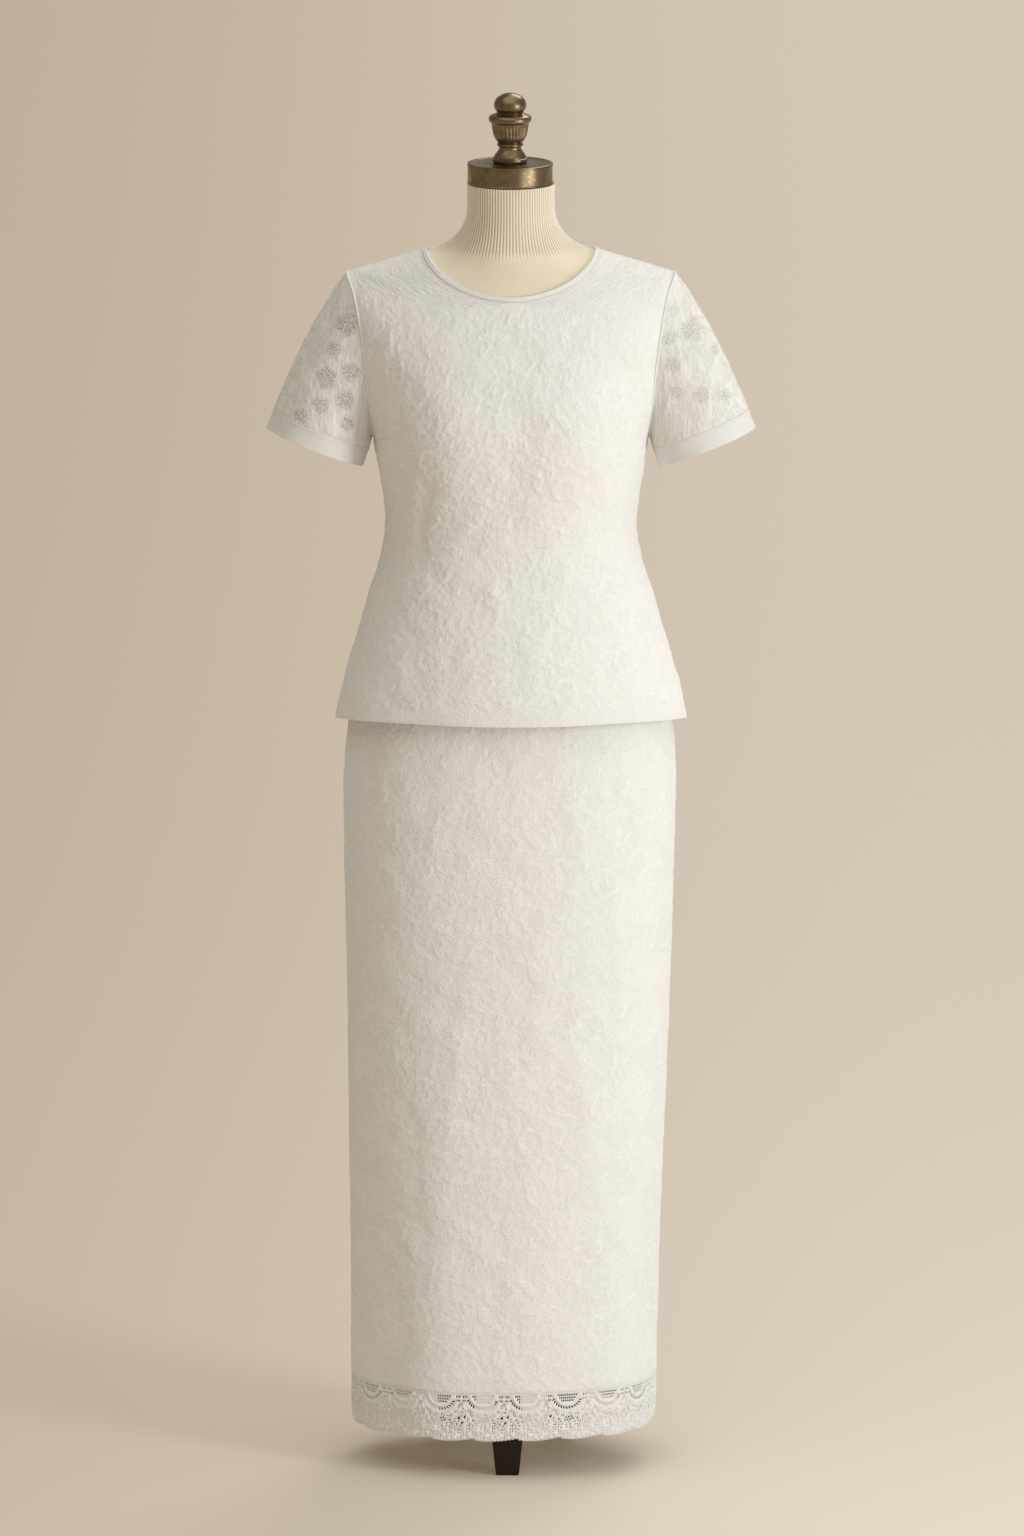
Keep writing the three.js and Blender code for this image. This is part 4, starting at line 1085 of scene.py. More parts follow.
def tunic_panel(half, lace):
    """Front or back panel, in one body patch and two shoulder patches."""
    places = top_columns()
    middle = TOP_HALF_COLUMNS
    body = eased(np.concatenate((
        top_grid(half, np.linspace(0, 1, TOP_LOW_ROWS + 1), places),
        top_grid(half, np.linspace(1, NECK_ROW, TOP_CHEST_ROWS + 1), places)[1:],
    )))
    normal = grid_normals(body, away_from_axis(body))
    u = arcs(body, 1)
    u -= u[:, [middle]]
    v = arcs(body, 0)
    shoulder_rows = np.linspace(NECK_ROW, SHOULDER_ROW, TOP_SHOULDER_ROWS + 1)
    patches = [(body, normal, u, v, ("low", "left", "right"))]
    for side in (-1, 1):
        run = np.maximum(places[middle:], 1e-12) * side
        part = eased(top_grid(half, shoulder_rows, run))
        columns = slice(middle, None) if side > 0 else slice(middle, None, -1)
        turned = grid_normals(part, away_from_axis(part) + np.array((0, 0, 0.8)))
        turned[0] = normal[-1, columns]
        across = side * arcs(part, 1) + part[:, [0], 0]
        across[0] = u[-1, columns]
        upward = arcs(part, 0) + v[-1, columns]
        patches.append((part, turned, across, upward, ("high", "left", "right")))
    edges = [body[:, 0], body[:, -1]]
    for part, *_ in patches[1:]:
        edges += [part[:, 0], part[:, -1], part[-1]]
    shell = Shell()
    for points, normals, across, upward, free in patches:
        edge = smooth((edge_distance(points, edges) - 1.5) / 5)
        plain = smooth((upward - HEM_TURN) / 4)
        relief = lace.at(across, upward) * edge * plain
        facing = mix(TOP_FACE_UP, 1, np.hypot(normals[..., 0], normals[..., 1]) ** 2)
        lift = (relief * lace.relief + TOP_RIPPLE * ripple(across, upward)) * edge * plain * facing
        lift = lift + crease_at(TOP_CREASES, half, points) * smooth(upward / 20)
        lift = lift + HEM_RIDGE * (1 - plain) * smooth(upward / 2)
        outer = points + normals * lift[..., None]
        inner = points - normals * TOP_WALL
        shift = np.array((0, half.sign * SEAM_GAP / 2, 0))
        shell.patch(outer + shift, inner + shift, across, upward, relief, free)
    return shell.mesh("tunic_" + half.name)


def neckline_ring(out):
    """Points round the neckline, a distance out from its inner edge."""
    turns = np.linspace(0, np.pi / 2, NECKLINE_QUARTER + 1)
    ring = []
    for half, side, order in ((FRONT, 1, 1), (BACK, 1, -1), (BACK, -1, 1), (FRONT, -1, -1)):
        points = neckline_point(half, turns, out) * np.array((side, 1, 1))
        ring.append(points[::order][:-1])
    return np.concatenate(ring)


def neck_binding():
    """The binding: a narrow folded strip round the neckline, rolled over its inner edge."""
    rings = {out: neckline_ring(out) for out, _ in BINDING_PROFILE}
    inner, outer = rings[0.0], rings[BINDING_WIDTH]
    along = np.roll(inner, -1, axis=0) - np.roll(inner, 1, axis=0)
    normal = unit(np.cross(along, outer - inner))
    normal *= np.where(normal[:, 2:] < 0, -1, 1)
    rows = [rings[out] + normal * lift for out, lift in BINDING_PROFILE]
    grid = np.stack(rows + rows[:1])
    grid = np.concatenate((grid, grid[:, :1]), axis=1)
    u, v = arcs(grid, 1), arcs(grid, 0)
    pucker = BINDING_PUCKER * np.sin(u / 2.1) * np.sin(np.linspace(0, np.pi, len(grid)))[:, None]
    grid = grid + np.concatenate((normal, normal[:1]))[None] * pucker[..., None]
    return turned_out(grid_mesh("neck_binding", grid, u, v, marks=np.zeros(u.size), sharp=70))


def turned_out(mesh):
    """Turns a closed mesh so that its faces point out."""
    with edited(mesh) as bm:
        bmesh.ops.recalc_face_normals(bm, faces=bm.faces)
        if bm.calc_volume(signed=True) < 0:
            bmesh.ops.reverse_faces(bm, faces=bm.faces)
    return mesh


# ------ the sleeves
# Flowers of open mesh on each sleeve: x, side of the arm (-1 is its front), z and radius.
SLEEVE_FLOWERS = {
    -1: [(-193, -1, 1369, 12), (-208, -1, 1341, 8), (-216, -1, 1307, 11), (-188, -1, 1314, 10),
         (-223, -1, 1275, 9), (-194, -1, 1281, 10), (-192, -1, 1253, 8), (-246, -1, 1262, 8),
         (-205, 1, 1352, 11), (-224, 1, 1318, 10), (-196, 1, 1306, 11), (-236, 1, 1276, 9),
         (-206, 1, 1262, 10)],
    1: [(212, -1, 1361, 12), (186, -1, 1353, 8), (188, -1, 1323, 9), (240, -1, 1335, 7), (223, -1, 1287, 9),
        (250, -1, 1285, 7), (194, -1, 1290, 8), (208, 1, 1356, 11), (190, 1, 1322, 10), (232, 1, 1318, 9),
        (216, 1, 1282, 11), (250, 1, 1262, 8), (192, 1, 1264, 9)],
}
SLEEVE_COLUMNS = 198
SLEEVE_ROWS = 81
SLEEVE_BAND_ROWS = 18
SLEEVE_WALL = 1.0
SLEEVE_BAND_WALL = 1.2
SLEEVE_COLUMNS_AT = 0.3  # how far along the sleeve its columns are spaced evenly
SLEEVE_SEAM_TURN = 0.12  # radians either side of the seam under the arm where the relief fades
# How far each sleeve's flowers open and take their painted shade; less on the right sleeve, which the light
# falls on, so that side is painted lighter.
FLOWER_OPENING_AND_PAINTED_SHADE = {-1: 0.95, 1: 0.6}
FLOWER_EDGE = 5.5
ARMHOLE_POINTS = 150


def off_seam(turn):
    """Fades the relief out at the seam under the arm."""
    return smooth(np.minimum(turn, 2 * np.pi - turn) / SLEEVE_SEAM_TURN)


def sleeve_grid(side, start, end, rows, columns=SLEEVE_COLUMNS):
    """Points round and down a sleeve, between two heights above its hem. None is the armhole."""
    turns = even_places(lambda t: sleeve_point(2 * np.pi * t, SLEEVE_COLUMNS_AT + 0 * t, 1), columns)
    turns = turns * 2 * np.pi
    _, length = sleeve_lines(turns)
    share = np.linspace(0, 1, rows + 1)[:, None]
    along = mix(0 if start is None else 1 - start / length, 1 - end / length, share)
    turn = np.broadcast_to(turns, along.shape)
    points = sleeve_point(turn, along, side)
    outward = unit(points - points[:, :-1].mean(axis=1, keepdims=True))
    wrapped = np.concatenate((points[:, -2:-1], points, points[:, 1:2]), axis=1)
    padded = np.concatenate((outward[:, :1], outward, outward[:, :1]), axis=1)
    square = grid_normals(wrapped, padded)[:, 1:-1]
    return points, unit(mix(outward, square, smooth(along / 0.15)[..., None])), turn, along


def sleeve(side, lace):
    """The see-through part of a sleeve, from the armhole down to its band."""
    points, normal, turn, along = sleeve_grid(side, None, SLEEVE_BAND + SEAM_GAP, SLEEVE_ROWS)
    u, v = arcs(points, 1), arcs(points, 0)
    u -= u[:, [np.argmin(np.abs(turn[0] - np.pi))]]
    lift = 0.3 * ripple(u, v)
    for round_at, down, wide, deep, height in SLEEVE_CREASES:
        lift = lift + height * bell(np.degrees(turn) - round_at, wide) * bell(along - down, deep)
    fade = smooth(v / 7) * smooth((v[-1] - v) / 4) * off_seam(turn)
    lift = (lift + lace.at(u, v) * 0.5 * lace.relief) * fade
    # The flower marks: the sheer finish opens the mesh there and darkens it with painted shade.
    flower = np.zeros_like(u)
    for x, facing, z, radius in SLEEVE_FLOWERS[side]:
        other_side = np.sign(points[..., 1]) != facing
        away = (points[..., 0] - x) ** 2 + (points[..., 2] - z) ** 2 + 1e6 * other_side
        spot = np.unravel_index(np.argmin(away), away.shape)
        away = points - points[spot]
        reach = np.sqrt(away[..., 0] ** 2 + 0.4 * away[..., 1] ** 2 + away[..., 2] ** 2)
        angle = np.arctan2(away[..., 2], away[..., 0])
        petals = radius * (1.32 + 0.07 * np.cos(5 * angle + x) + 0.07 * np.sin(3 * angle + z))
        veins = 0.45 * bell(np.sin(2.5 * angle + x), 0.3) * smooth(reach / radius / 0.5)
        opened = smooth((petals - reach) / FLOWER_EDGE) * (1 - veins) * FLOWER_OPENING_AND_PAINTED_SHADE[side]
        flower = np.maximum(flower, opened)
    shell = Shell()
    outer = points + normal * np.maximum(lift, -0.4)[..., None]
    shell.patch(outer, points - normal * SLEEVE_WALL, u, v, flower * fade, ("low", "high"))
    return shell.mesh("sleeve")


def sleeve_band(side):
    """The deep plain hem of a sleeve: two layers, a soft ridge at its top and a turned lower edge."""
    points, normal, turn, _ = sleeve_grid(side, SLEEVE_BAND, 0, SLEEVE_BAND_ROWS)
    u, v = arcs(points, 1), arcs(points, 0)
    lift = 0.5 * bell(v - 1.6, 1.4) + 0.35 * bell(v - 21.5, 1.6) + 0.2 * ripple(u * 1.4, v) * off_seam(turn)
    outer = points + normal * (lift * smooth(v / 1.2))[..., None]
    shell = Shell()
    shell.patch(outer, points - normal * SLEEVE_BAND_WALL, u, v, 0 * u, ("low", "high"))
    return shell.mesh("sleeve_band")


def armhole_line(side, out):
    """Points round the armhole, for its welt."""
    turns = np.linspace(0, 2 * np.pi, ARMHOLE_POINTS, endpoint=False)
    points = sleeve_point(turns, 0.004 + 0 * turns, side)
    return points + unit(points - points.mean(axis=0)) * out


# ------ the skirt
SKIRT_HALF_COLUMNS = 93
SKIRT_ROWS = 339
SKIRT_COLUMNS_Z = 500.0  # the height whose arc the columns share evenly
SKIRT_WALL = 1.3
SKIRT_RIPPLE = 0.38
SKIRT_LACE_SHARE = 0.8  # its relief, against the tunic's
SKIRT_LACE_SCALE = 1.12
SKIRT_LACE_SHIFT = (37, 11)
SKIRT_GATHER = 1.1  # how deep the gathers are under the waistband
WAISTBAND_WALL = 2.0


def skirt_columns(half):
    return both_sides(even_places(lambda s: skirt_point(half, s, np.full_like(s, SKIRT_COLUMNS_Z)),
                                  SKIRT_HALF_COLUMNS))


def skirt_panel(half, lace):
    """Front or back panel of the skirt, from its lace border to the waistband."""
    z = np.linspace(LACE_TOP_Z + SEAM_GAP, SKIRT_TOP_Z - SEAM_GAP, SKIRT_ROWS + 1)
    height, across = np.meshgrid(z, skirt_columns(half), indexing="ij")
    points = skirt_point(half, across, height)
    normal = grid_normals(points, away_from_axis(points))
    u, v = arcs(points, 1), arcs(points, 0)
    u -= u[:, [SKIRT_HALF_COLUMNS]]
    edge = smooth((u - u[:, :1]) / 6) * smooth((u[:, -1:] - u) / 6) * smooth(v / 5) * smooth((v[-1] - v) / 5)
    to_left, up = SKIRT_LACE_SHIFT
    relief = lace.at(u / SKIRT_LACE_SCALE + to_left, v / SKIRT_LACE_SCALE + up) * edge
    lift = relief * lace.relief * SKIRT_LACE_SHARE + SKIRT_RIPPLE * ripple(u * 0.9, v * 0.9) * edge
    lift = lift + crease_at(SKIRT_CREASES, half, points) * edge
    gathers = SKIRT_GATHER * np.sin(u / 2.6 + 1.2 * np.sin(u / 17)) * smooth((height - 1045) / 50)
    lift = np.where(height > 930, lift * smooth((1110 - height) / 180) + np.minimum(gathers, 0), lift)
    shift = np.array((0, half.sign * SEAM_GAP / 2, 0))
    shell = Shell()
    shell.patch(points + normal * lift[..., None] + shift, points - normal * SKIRT_WALL + shift, u, v, relief,
                ("low", "high", "left", "right"))
    return shell.mesh("skirt_" + half.name)


def waistband():
    """The elastic waistband: a ring of cloth gathered over the elastic."""
    shell = Shell()
    across = both_sides(np.linspace(0, 1, 150))
    rows = np.linspace(SKIRT_TOP_Z, WAISTBAND_TOP_Z, 16)
    for half in (FRONT, BACK):
        height, places = np.meshgrid(rows, across, indexing="ij")
        points = skirt_point(half, places, height)
        normal = away_from_axis(points)
        u, v = arcs(points, 1), arcs(points, 0)
        gather = -0.55 - 0.5 * np.sin(u / 1.45 + 0.8 * np.sin(u / 11 + v / 9))
        channel = -0.35 * (bell(v - 7, 1.0) + bell(v - 24, 1.0))
        fade = smooth((1 - np.abs(places)) / 0.02)
        outer = points + normal * ((gather + channel) * fade)[..., None]
        shell.patch(outer, points - normal * WAISTBAND_WALL, u, v, 0 * u, ("low", "high"))
    return shell.mesh("skirt_waistband")


# ------ the lace border
class Strip:
    """One flat repeat of the lace border: a worked cloth with holes, and cords laid on it.

    x runs along the hem and y up from its lowest point. Its two side edges follow one slanted line."""

    SEAM_Y = (-3, 15, 39, 46, 60)
    SEAM_X = (-4.6, -4.6, 5.6, 0, 0)
    CLEAR = 0.48  # least thread between two holes
    TOP_CLEAR = 1.7  # least cloth above a hole
    LOW_CLEAR = 1.6  # least cloth below a hole
    NEAR = 9  # holes further apart than this can't meet

    def __init__(self, width, height):
        self.width, self.height = width, height
        self.points, self.faces, self.holes, self.marks = [], [], [], []

    def seam(self, y):
        return np.interp(y, self.SEAM_Y, self.SEAM_X)

    def edge(self, x):
        """The scalloped lower edge: one broad lobe to a repeat, with small loops along it."""
        run = np.mod(x / self.width - 0.32, 1)
        lobe = (run**0.45 * (1 - run) ** 0.9) / 0.455
        return 5.4 - 3.9 * lobe - 0.75 * np.abs(np.sin(6 * np.pi * x / self.width)) ** 0.7

    def hole(self, x, y, wide, tall, lean=0.0, sides=7):
        """Opens a hole where it keeps clear of the edges and of the other holes."""
        turn, angle = math.radians(lean), np.arange(sides) * 2 * np.pi / sides + 0.3
        flat = pairs(wide / 2 * np.cos(angle), tall / 2 * np.sin(angle))
        ring = flat @ np.array(((math.cos(turn), math.sin(turn)), (-math.sin(turn), math.cos(turn)))) + (x, y)
        left = self.seam(ring[:, 1]) + self.CLEAR
        right = left + self.width - 2 * self.CLEAR
        if np.any(ring[:, 0] < left) or np.any(ring[:, 0] > right) \
                or np.any(ring[:, 1] > self.height - self.TOP_CLEAR) \
                or np.any(ring[:, 1] < self.edge(ring[:, 0]) + self.LOW_CLEAR):
            return
        for other, (ox, oy, small) in self.holes:
            apart = math.hypot(ox - x, oy - y)
            if apart > self.NEAR:
                continue
            gaps = np.linalg.norm(ring[:, None] - other[None], axis=-1)
            if gaps.min() < self.CLEAR or apart < small + min(wide, tall) / 2 + self.CLEAR:
                return
        self.holes.append((ring, (x, y, min(wide, tall) / 2)))

    def strand(self, path, wide, thick, sides=4, lift=0.0, ends=True, closed=False):
        """A flattened cord along a path. ends says whether its ends are closed and square to it."""
        path = np.asarray(path, float)
        if closed:
            along = np.roll(path, -1, axis=0) - np.roll(path, 1, axis=0)
        else:
            along = np.gradient(path, axis=0)
        along = unit(along)
        across = pairs(-along[:, 1], along[:, 0])
        if not ends:
            across[0] = across[-1] = (0.0, 1.0)
        first, count = len(self.points), len(path)
        self.marks.extend([1.0] * count * sides)
        turns = np.arange(sides) * 2 * np.pi / sides
        for point, side in zip(path, across):
            for turn in turns:
                flat = point + side * math.cos(turn) * wide / 2
                self.points.append((flat[0], flat[1], lift + math.sin(turn) * thick / 2))
        for i in range(count if closed else count - 1):
            here, there = first + i * sides, first + (i + 1) % count * sides
            for k in range(sides):
                after = (k + 1) % sides
                self.faces.append((here + k, here + after, there + after, there + k))
        if ends and not closed:
            last = first + (count - 1) * sides
            self.faces.append(tuple(first + k for k in reversed(range(sides))))
            self.faces.append(tuple(last + k for k in range(sides)))

    def sheet(self, thick):
        """Fills the repeat with cloth round its holes: two faces, and walls but at the side edges."""
        low = np.linspace(self.seam(0), self.seam(0) + self.width, 91)
        foot = float(self.edge(low[0]))
        rise = np.linspace(foot, self.height, 18)
        top = np.linspace(self.width, 0, 26)
        outline = [*zip(low, self.edge(low)), *zip(self.seam(rise[1:]) + self.width, rise[1:]),
                   *((x, self.height) for x in top[1:]), *zip(self.seam(rise[-2:0:-1]), rise[-2:0:-1])]
        points, edges = [], []
        for ring in (outline, *(ring for ring, _ in self.holes)):
            first, count = len(points), len(ring)
            points.extend(Vector((float(x), float(y))) for x, y in ring)
            edges.extend((first + i, first + (i + 1) % count) for i in range(count))
        made, _, faces, *_ = delaunay_2d_cdt(points, edges, [], 0, 1e-5)
        made, faces = np.array([tuple(point) for point in made]), np.array(faces)
        centre = made[faces].mean(axis=1)
        offset = centre[:, 0] - self.seam(centre[:, 1])
        kept = (offset > 0) & (offset < self.width)
        kept &= (centre[:, 1] > self.edge(centre[:, 0])) & (centre[:, 1] < self.height)
        for ring, _ in self.holes:
            step, away = np.roll(ring, -1, axis=0) - ring, centre[:, None] - ring[None]
            kept &= ~np.all(step[:, 0] * away[..., 1] - step[:, 1] * away[..., 0] > 0, axis=1)
        faces = faces[kept].tolist()
        swell = 0.5 + 0.22 * np.sin(made[:, 0] * 2.1 + np.sin(made[:, 1] * 1.7)) * np.sin(made[:, 1] * 1.9)
        first, count = len(self.points), len(made)
        self.marks.extend([0.0] * 2 * count)
        self.points.extend(np.column_stack((made, swell * thick)).tolist())
        self.points.extend(np.column_stack((made, 0 * swell - thick * 0.5)).tolist())
        offset = made[:, 0] - self.seam(made[:, 1])
        left, right = np.abs(offset) < 1e-3, np.abs(offset - self.width) < 1e-3
        used = {}  # edges of the upper face, in order; a set would not keep it
        for face in faces:
            a, b, c = (made[i] for i in face)
            if (b[0] - a[0]) * (c[1] - a[1]) - (b[1] - a[1]) * (c[0] - a[0]) < 0:
                face = face[::-1]
            self.faces.append(tuple(first + i for i in face))
            self.faces.append(tuple(first + count + i for i in reversed(face)))
            for i, j in zip(face, (*face[1:], face[0])):
                used[(i, j)] = True
        for i, j in used:
            if (j, i) not in used and not (left[i] and left[j]) and not (right[i] and right[j]):
                self.faces.append((first + j, first + i, first + count + i, first + count + j))

    def mesh(self):
        return mesh_of("lace_repeat", np.array(self.points), self.faces, marks=np.array(self.marks),
                       weld=False, sharp=180)


def arc(x, y, rx, ry, start, end, count):
    """Points of an arc of an ellipse, between two angles in degrees."""
    turn = np.radians(np.linspace(start, end, count))
    return pairs(x + rx * np.cos(turn), y + ry * np.sin(turn))


FAN_RADIUS = 12.6
# Eyelets and small loops by the repeat's middle: x from the middle and y.
EYELETS = ((1.5, 27.6), (4.6, 28.2), (-1.6, 27.0), (3.0, 24.6), (-0.1, 24.0), (6.2, 25.4), (-3.2, 23.6),
           (1.4, 21.4))
SIDE_EYELETS = ((-10.6, 25.5), (-8.6, 22.8), (11.6, 25.6), (13.0, 22.6), (-12.0, 30.2), (12.4, 30.4))
LOOPS = ((1.5, 25.6, 6.6), (-11.0, 26.6, 4.6), (12.2, 26.8, 4.6))  # and the radius
GROUND_SEED = 5
EDGE_LOOPS = 12


def lace_repeat(width, height):
    """Shell fans under a heading, leaves at the joins, eyelets, a close ground and a scalloped edge."""
    strip = Strip(width, height)
    draw = np.random.default_rng(GROUND_SEED)
    middle, fan_y, fan_r = width / 2, height - 1.8, FAN_RADIUS
    # the fan's mesh: upright slits in rows
    for y in np.arange(fan_y - 2.1, fan_y - 13, -3.35):
        for offset in np.arange(-11.2, 11.3, 2.24):
            if math.hypot(offset, y - fan_y) < fan_r - 0.7:
                strip.hole(middle + offset, y, 1.74, 2.9, 0, 6)
    # the ring of slanted holes outside the fan's rim
    for angle in np.arange(204, 338, 10.6):
        turn = math.radians(angle)
        strip.hole(middle + 18.2 * math.cos(turn), fan_y + 17.6 * math.sin(turn), 2.0, 4.2, angle - 246, 6)
    # slits between two fans, under the heading
    for joint in (0, width):
        for offset in (-5.2, -2.6, 0, 2.6, 5.2):
            strip.hole(joint + offset, height - 4.2, 1.75, 3.9 - abs(offset) * 0.25, offset * 1.5, 6)
            strip.hole(joint + offset * 0.9, height - 9.0, 1.75, 3.6 - abs(offset) * 0.3, offset * 2.5, 6)
        # the leaf: two rows of large holes along its rib
        for share in np.linspace(0.05, 0.95, 7):
            wide = 1.9 + 2.1 * math.sin(math.pi * share)
            x, y = joint - 4.6 + 10.2 * share, 15 + 24 * share
            strip.hole(x - 1.5 - 0.4 * wide, y + 1.3, wide * 0.95, 2.2 + 0.42 * wide, -32, 7)
            strip.hole(x + 1.5 + 0.4 * wide, y - 1.3, wide * 0.95, 2.2 + 0.42 * wide, -32, 7)
    # eyelets under the fan
    for x, y in EYELETS:
        strip.hole(middle + x, y, 2.1, 2.5, 15, 7)
    for x, y in SIDE_EYELETS:
        strip.hole(middle + x, y, 1.9, 2.6, -20, 6)
    # the close ground: small scattered holes, finer towards the edge
    for y in np.arange(4.5, height - 12, 2.8):
        for x in np.arange(-6, width + 6, 3.3):
            dx, dy, skip = draw.uniform(-0.8, 0.8), draw.uniform(-0.6, 0.6), draw.uniform()
            far = math.hypot(x + dx - middle, y + dy - fan_y)
            if skip < 0.72 and not 11.4 < far < 16.0 and not 20.2 < far < 24.0:
                size = 1.1 if y < 14 else 1.45
                strip.hole(x + dx, y + dy, size, size * 1.35, draw.uniform(-40, 40), 5)
    strip.sheet(0.85)
    # cords on the cloth
    whole = np.linspace(0, width, 27)
    strip.strand(pairs(whole, whole * 0 + height - 0.9), 1.8, 1.2, 6, 0.25, ends=False)
    for reach, low, high, loops, wide in ((fan_r + 1.3, 184, 356, 9, 2.3), (21.9, 203, 337, 11, 1.6)):
        turn = np.radians(np.linspace(low, high, 45))
        sway = reach + 0.55 * np.abs(np.sin(np.linspace(0, loops * np.pi, 45)))
        rim = pairs(middle + sway * np.cos(turn), fan_y + sway * 0.98 * np.sin(turn))
        strip.strand(rim, wide, 1.0, 6, 0.25)
    low, high = np.array((width - 4.9, 14.2)), np.array((width + 5.9, 39.8))
    axis = high - low
    side = np.array((-axis[1], axis[0])) / np.linalg.norm(axis)
    t = np.linspace(0, 1, 18)
    for way in (-1, 1):
        bulge = way * 5.1 * np.sin(np.pi * t) ** 0.7
        strip.strand(low + t[:, None] * axis + bulge[:, None] * side, 1.9, 1.4, 6, 0.3)
    strip.strand(low + t[::2, None] * axis, 0.9, 1.0, 4, 0.35)
    for x, y, size in LOOPS:
        strip.strand(arc(middle + x, y, size, size * 0.72, 0, 340, 18), 1.2, 1.1, 4, 0.3, closed=True)
    wave = 12.6 + 1.2 * np.sin(2 * np.pi * whole / width + 0.6) + 0.5 * np.sin(10 * np.pi * whole / width)
    strip.strand(pairs(whole, wave), 1.3, 0.9, 6, 0.25, ends=False)
    first = width / EDGE_LOOPS / 2
    for x in np.linspace(first, width - first, EDGE_LOOPS):
        strip.strand(arc(x, float(strip.edge(x)) + 0.9, 1.75, 1.7, 165, 375, 9), 1.15, 1.0, 5, 0.1)
    return strip.mesh()


BORDER_SINK = 0.6  # how far the border's middle lies inside the skirt's outer face


def border_guide(half, length, height):
    """The surface that half the border lies on, past its side seams too, with flat cloth coordinates."""
    inner = np.linspace(0, 1, 161)
    over = np.linspace(0.9, 1, 17)[:-1][::-1]
    other = BACK if half is FRONT else FRONT
    rows = np.linspace(-0.06, 1.04, 34)[:, None]

    def line(which, across):
        s = np.abs(across)
        z = mix(skirt_hem_z(s), LACE_TOP_Z, rows)
        return skirt_point(which, np.broadcast_to(across, z.shape), z)

    main = line(half, both_sides(inner))
    points = np.concatenate((line(other, -over)[:, ::-1], main, line(other, over)), axis=1)
    run = arcs(points, 1)
    left, right = run[:, [len(over)]], run[:, [len(over) + main.shape[1] - 1]]
    u = (run - left) / (right - left) * length
    v = np.broadcast_to(rows * height, u.shape)
    normal = grid_normals(points, away_from_axis(points))
    mesh = grid_mesh("guide", points - normal * BORDER_SINK, u, v, weld=False, sharp=180)
    if mesh.polygons[0].normal.dot(Vector(normal[0, 0])) < 0:
        mesh.flip_normals()
    return in_scene("guide", mesh)


def close_ends(mesh):
    """Closes the cloth and the cords that end at the side seams."""
    with edited(mesh) as bm:
        loose = [edge for edge in bm.edges if edge.is_boundary]
        bmesh.ops.holes_fill(bm, edges=loose, sides=0)
        bmesh.ops.triangulate(bm, faces=[face for face in bm.faces if len(face.verts) > 8])
    return mesh


# ------ the form and its stand
RIB_COLUMNS = 6  # columns of the mesh to each rib
RIB_DEPTH = 0.75
RIBS_FROM_Z = 1442
RIBS_FADE = 16  # mm of height over which the ribs come up
NECK_SKIN = (0.35, 0.4)  # how far the jersey's faces lie outside and inside the neck's surface
# The torso's own neck draws in under that skin: from this height, inside this ellipse, by this much.
NECK_DRAWN_FROM_Z = 1395
NECK_DRAWN_INSIDE = (101, 74)
NECK_DRAWN_BY = 1.6


def neck_skin(ribs):
    """The neck of the form: a ribbed column whose ribs fade out into the smooth shoulders."""
    turns = np.linspace(0, 2 * np.pi, ribs * RIB_COLUMNS + 1)
    climbs = np.concatenate((np.linspace(0, 1, 49), 1 + np.linspace(0, 1, 25)[1:]))
    points = np.empty((len(climbs), len(turns), 3))
    for k, turn in enumerate(turns):
        half = BACK if math.cos(turn) > 0 else FRONT
        quarter_turn = abs(math.atan2(math.sin(turn), abs(math.cos(turn)))) / (np.pi / 2)
        points[:, k] = neck_line(half, quarter_turn, 1 if math.sin(turn) >= 0 else -1, climbs)
    normal = grid_normals(points, away_from_axis(points))
    outside, inside = NECK_SKIN
    ribbed = smooth((points[..., 2] - RIBS_FROM_Z) / RIBS_FADE)
    rib_and_painted_groove_shade = 0.5 + 0.5 * np.cos(turns * ribs)
    lift = outside + ribbed * RIB_DEPTH * (rib_and_painted_groove_shade**0.8 - 1)
    # the mark drops in the grooves between the ribs, where the jersey finish paints shade
    mark = 1 - ribbed * (1 - rib_and_painted_groove_shade**0.6)
    shell = Shell(2)
    shell.patch(points + normal * lift[..., None], points - normal * inside, arcs(points, 1), arcs(points, 0),
                mark, ("low", "high"))
    return shell.mesh("form_neck")


# A line up the neck, at each half's middle and side: its rise off the shoulders and its lean inwards.
NECK_RISE = {"front": (26, 5), "back": (2, 5)}
NECK_LEAN = {"front": (0.35, 0.42), "back": (0.42, 0.42)}
NECK_FLARE = 1.5  # how much wider the column's foot is
NECK_FOOT = 0.32  # how high that foot lies, as a share of the climb


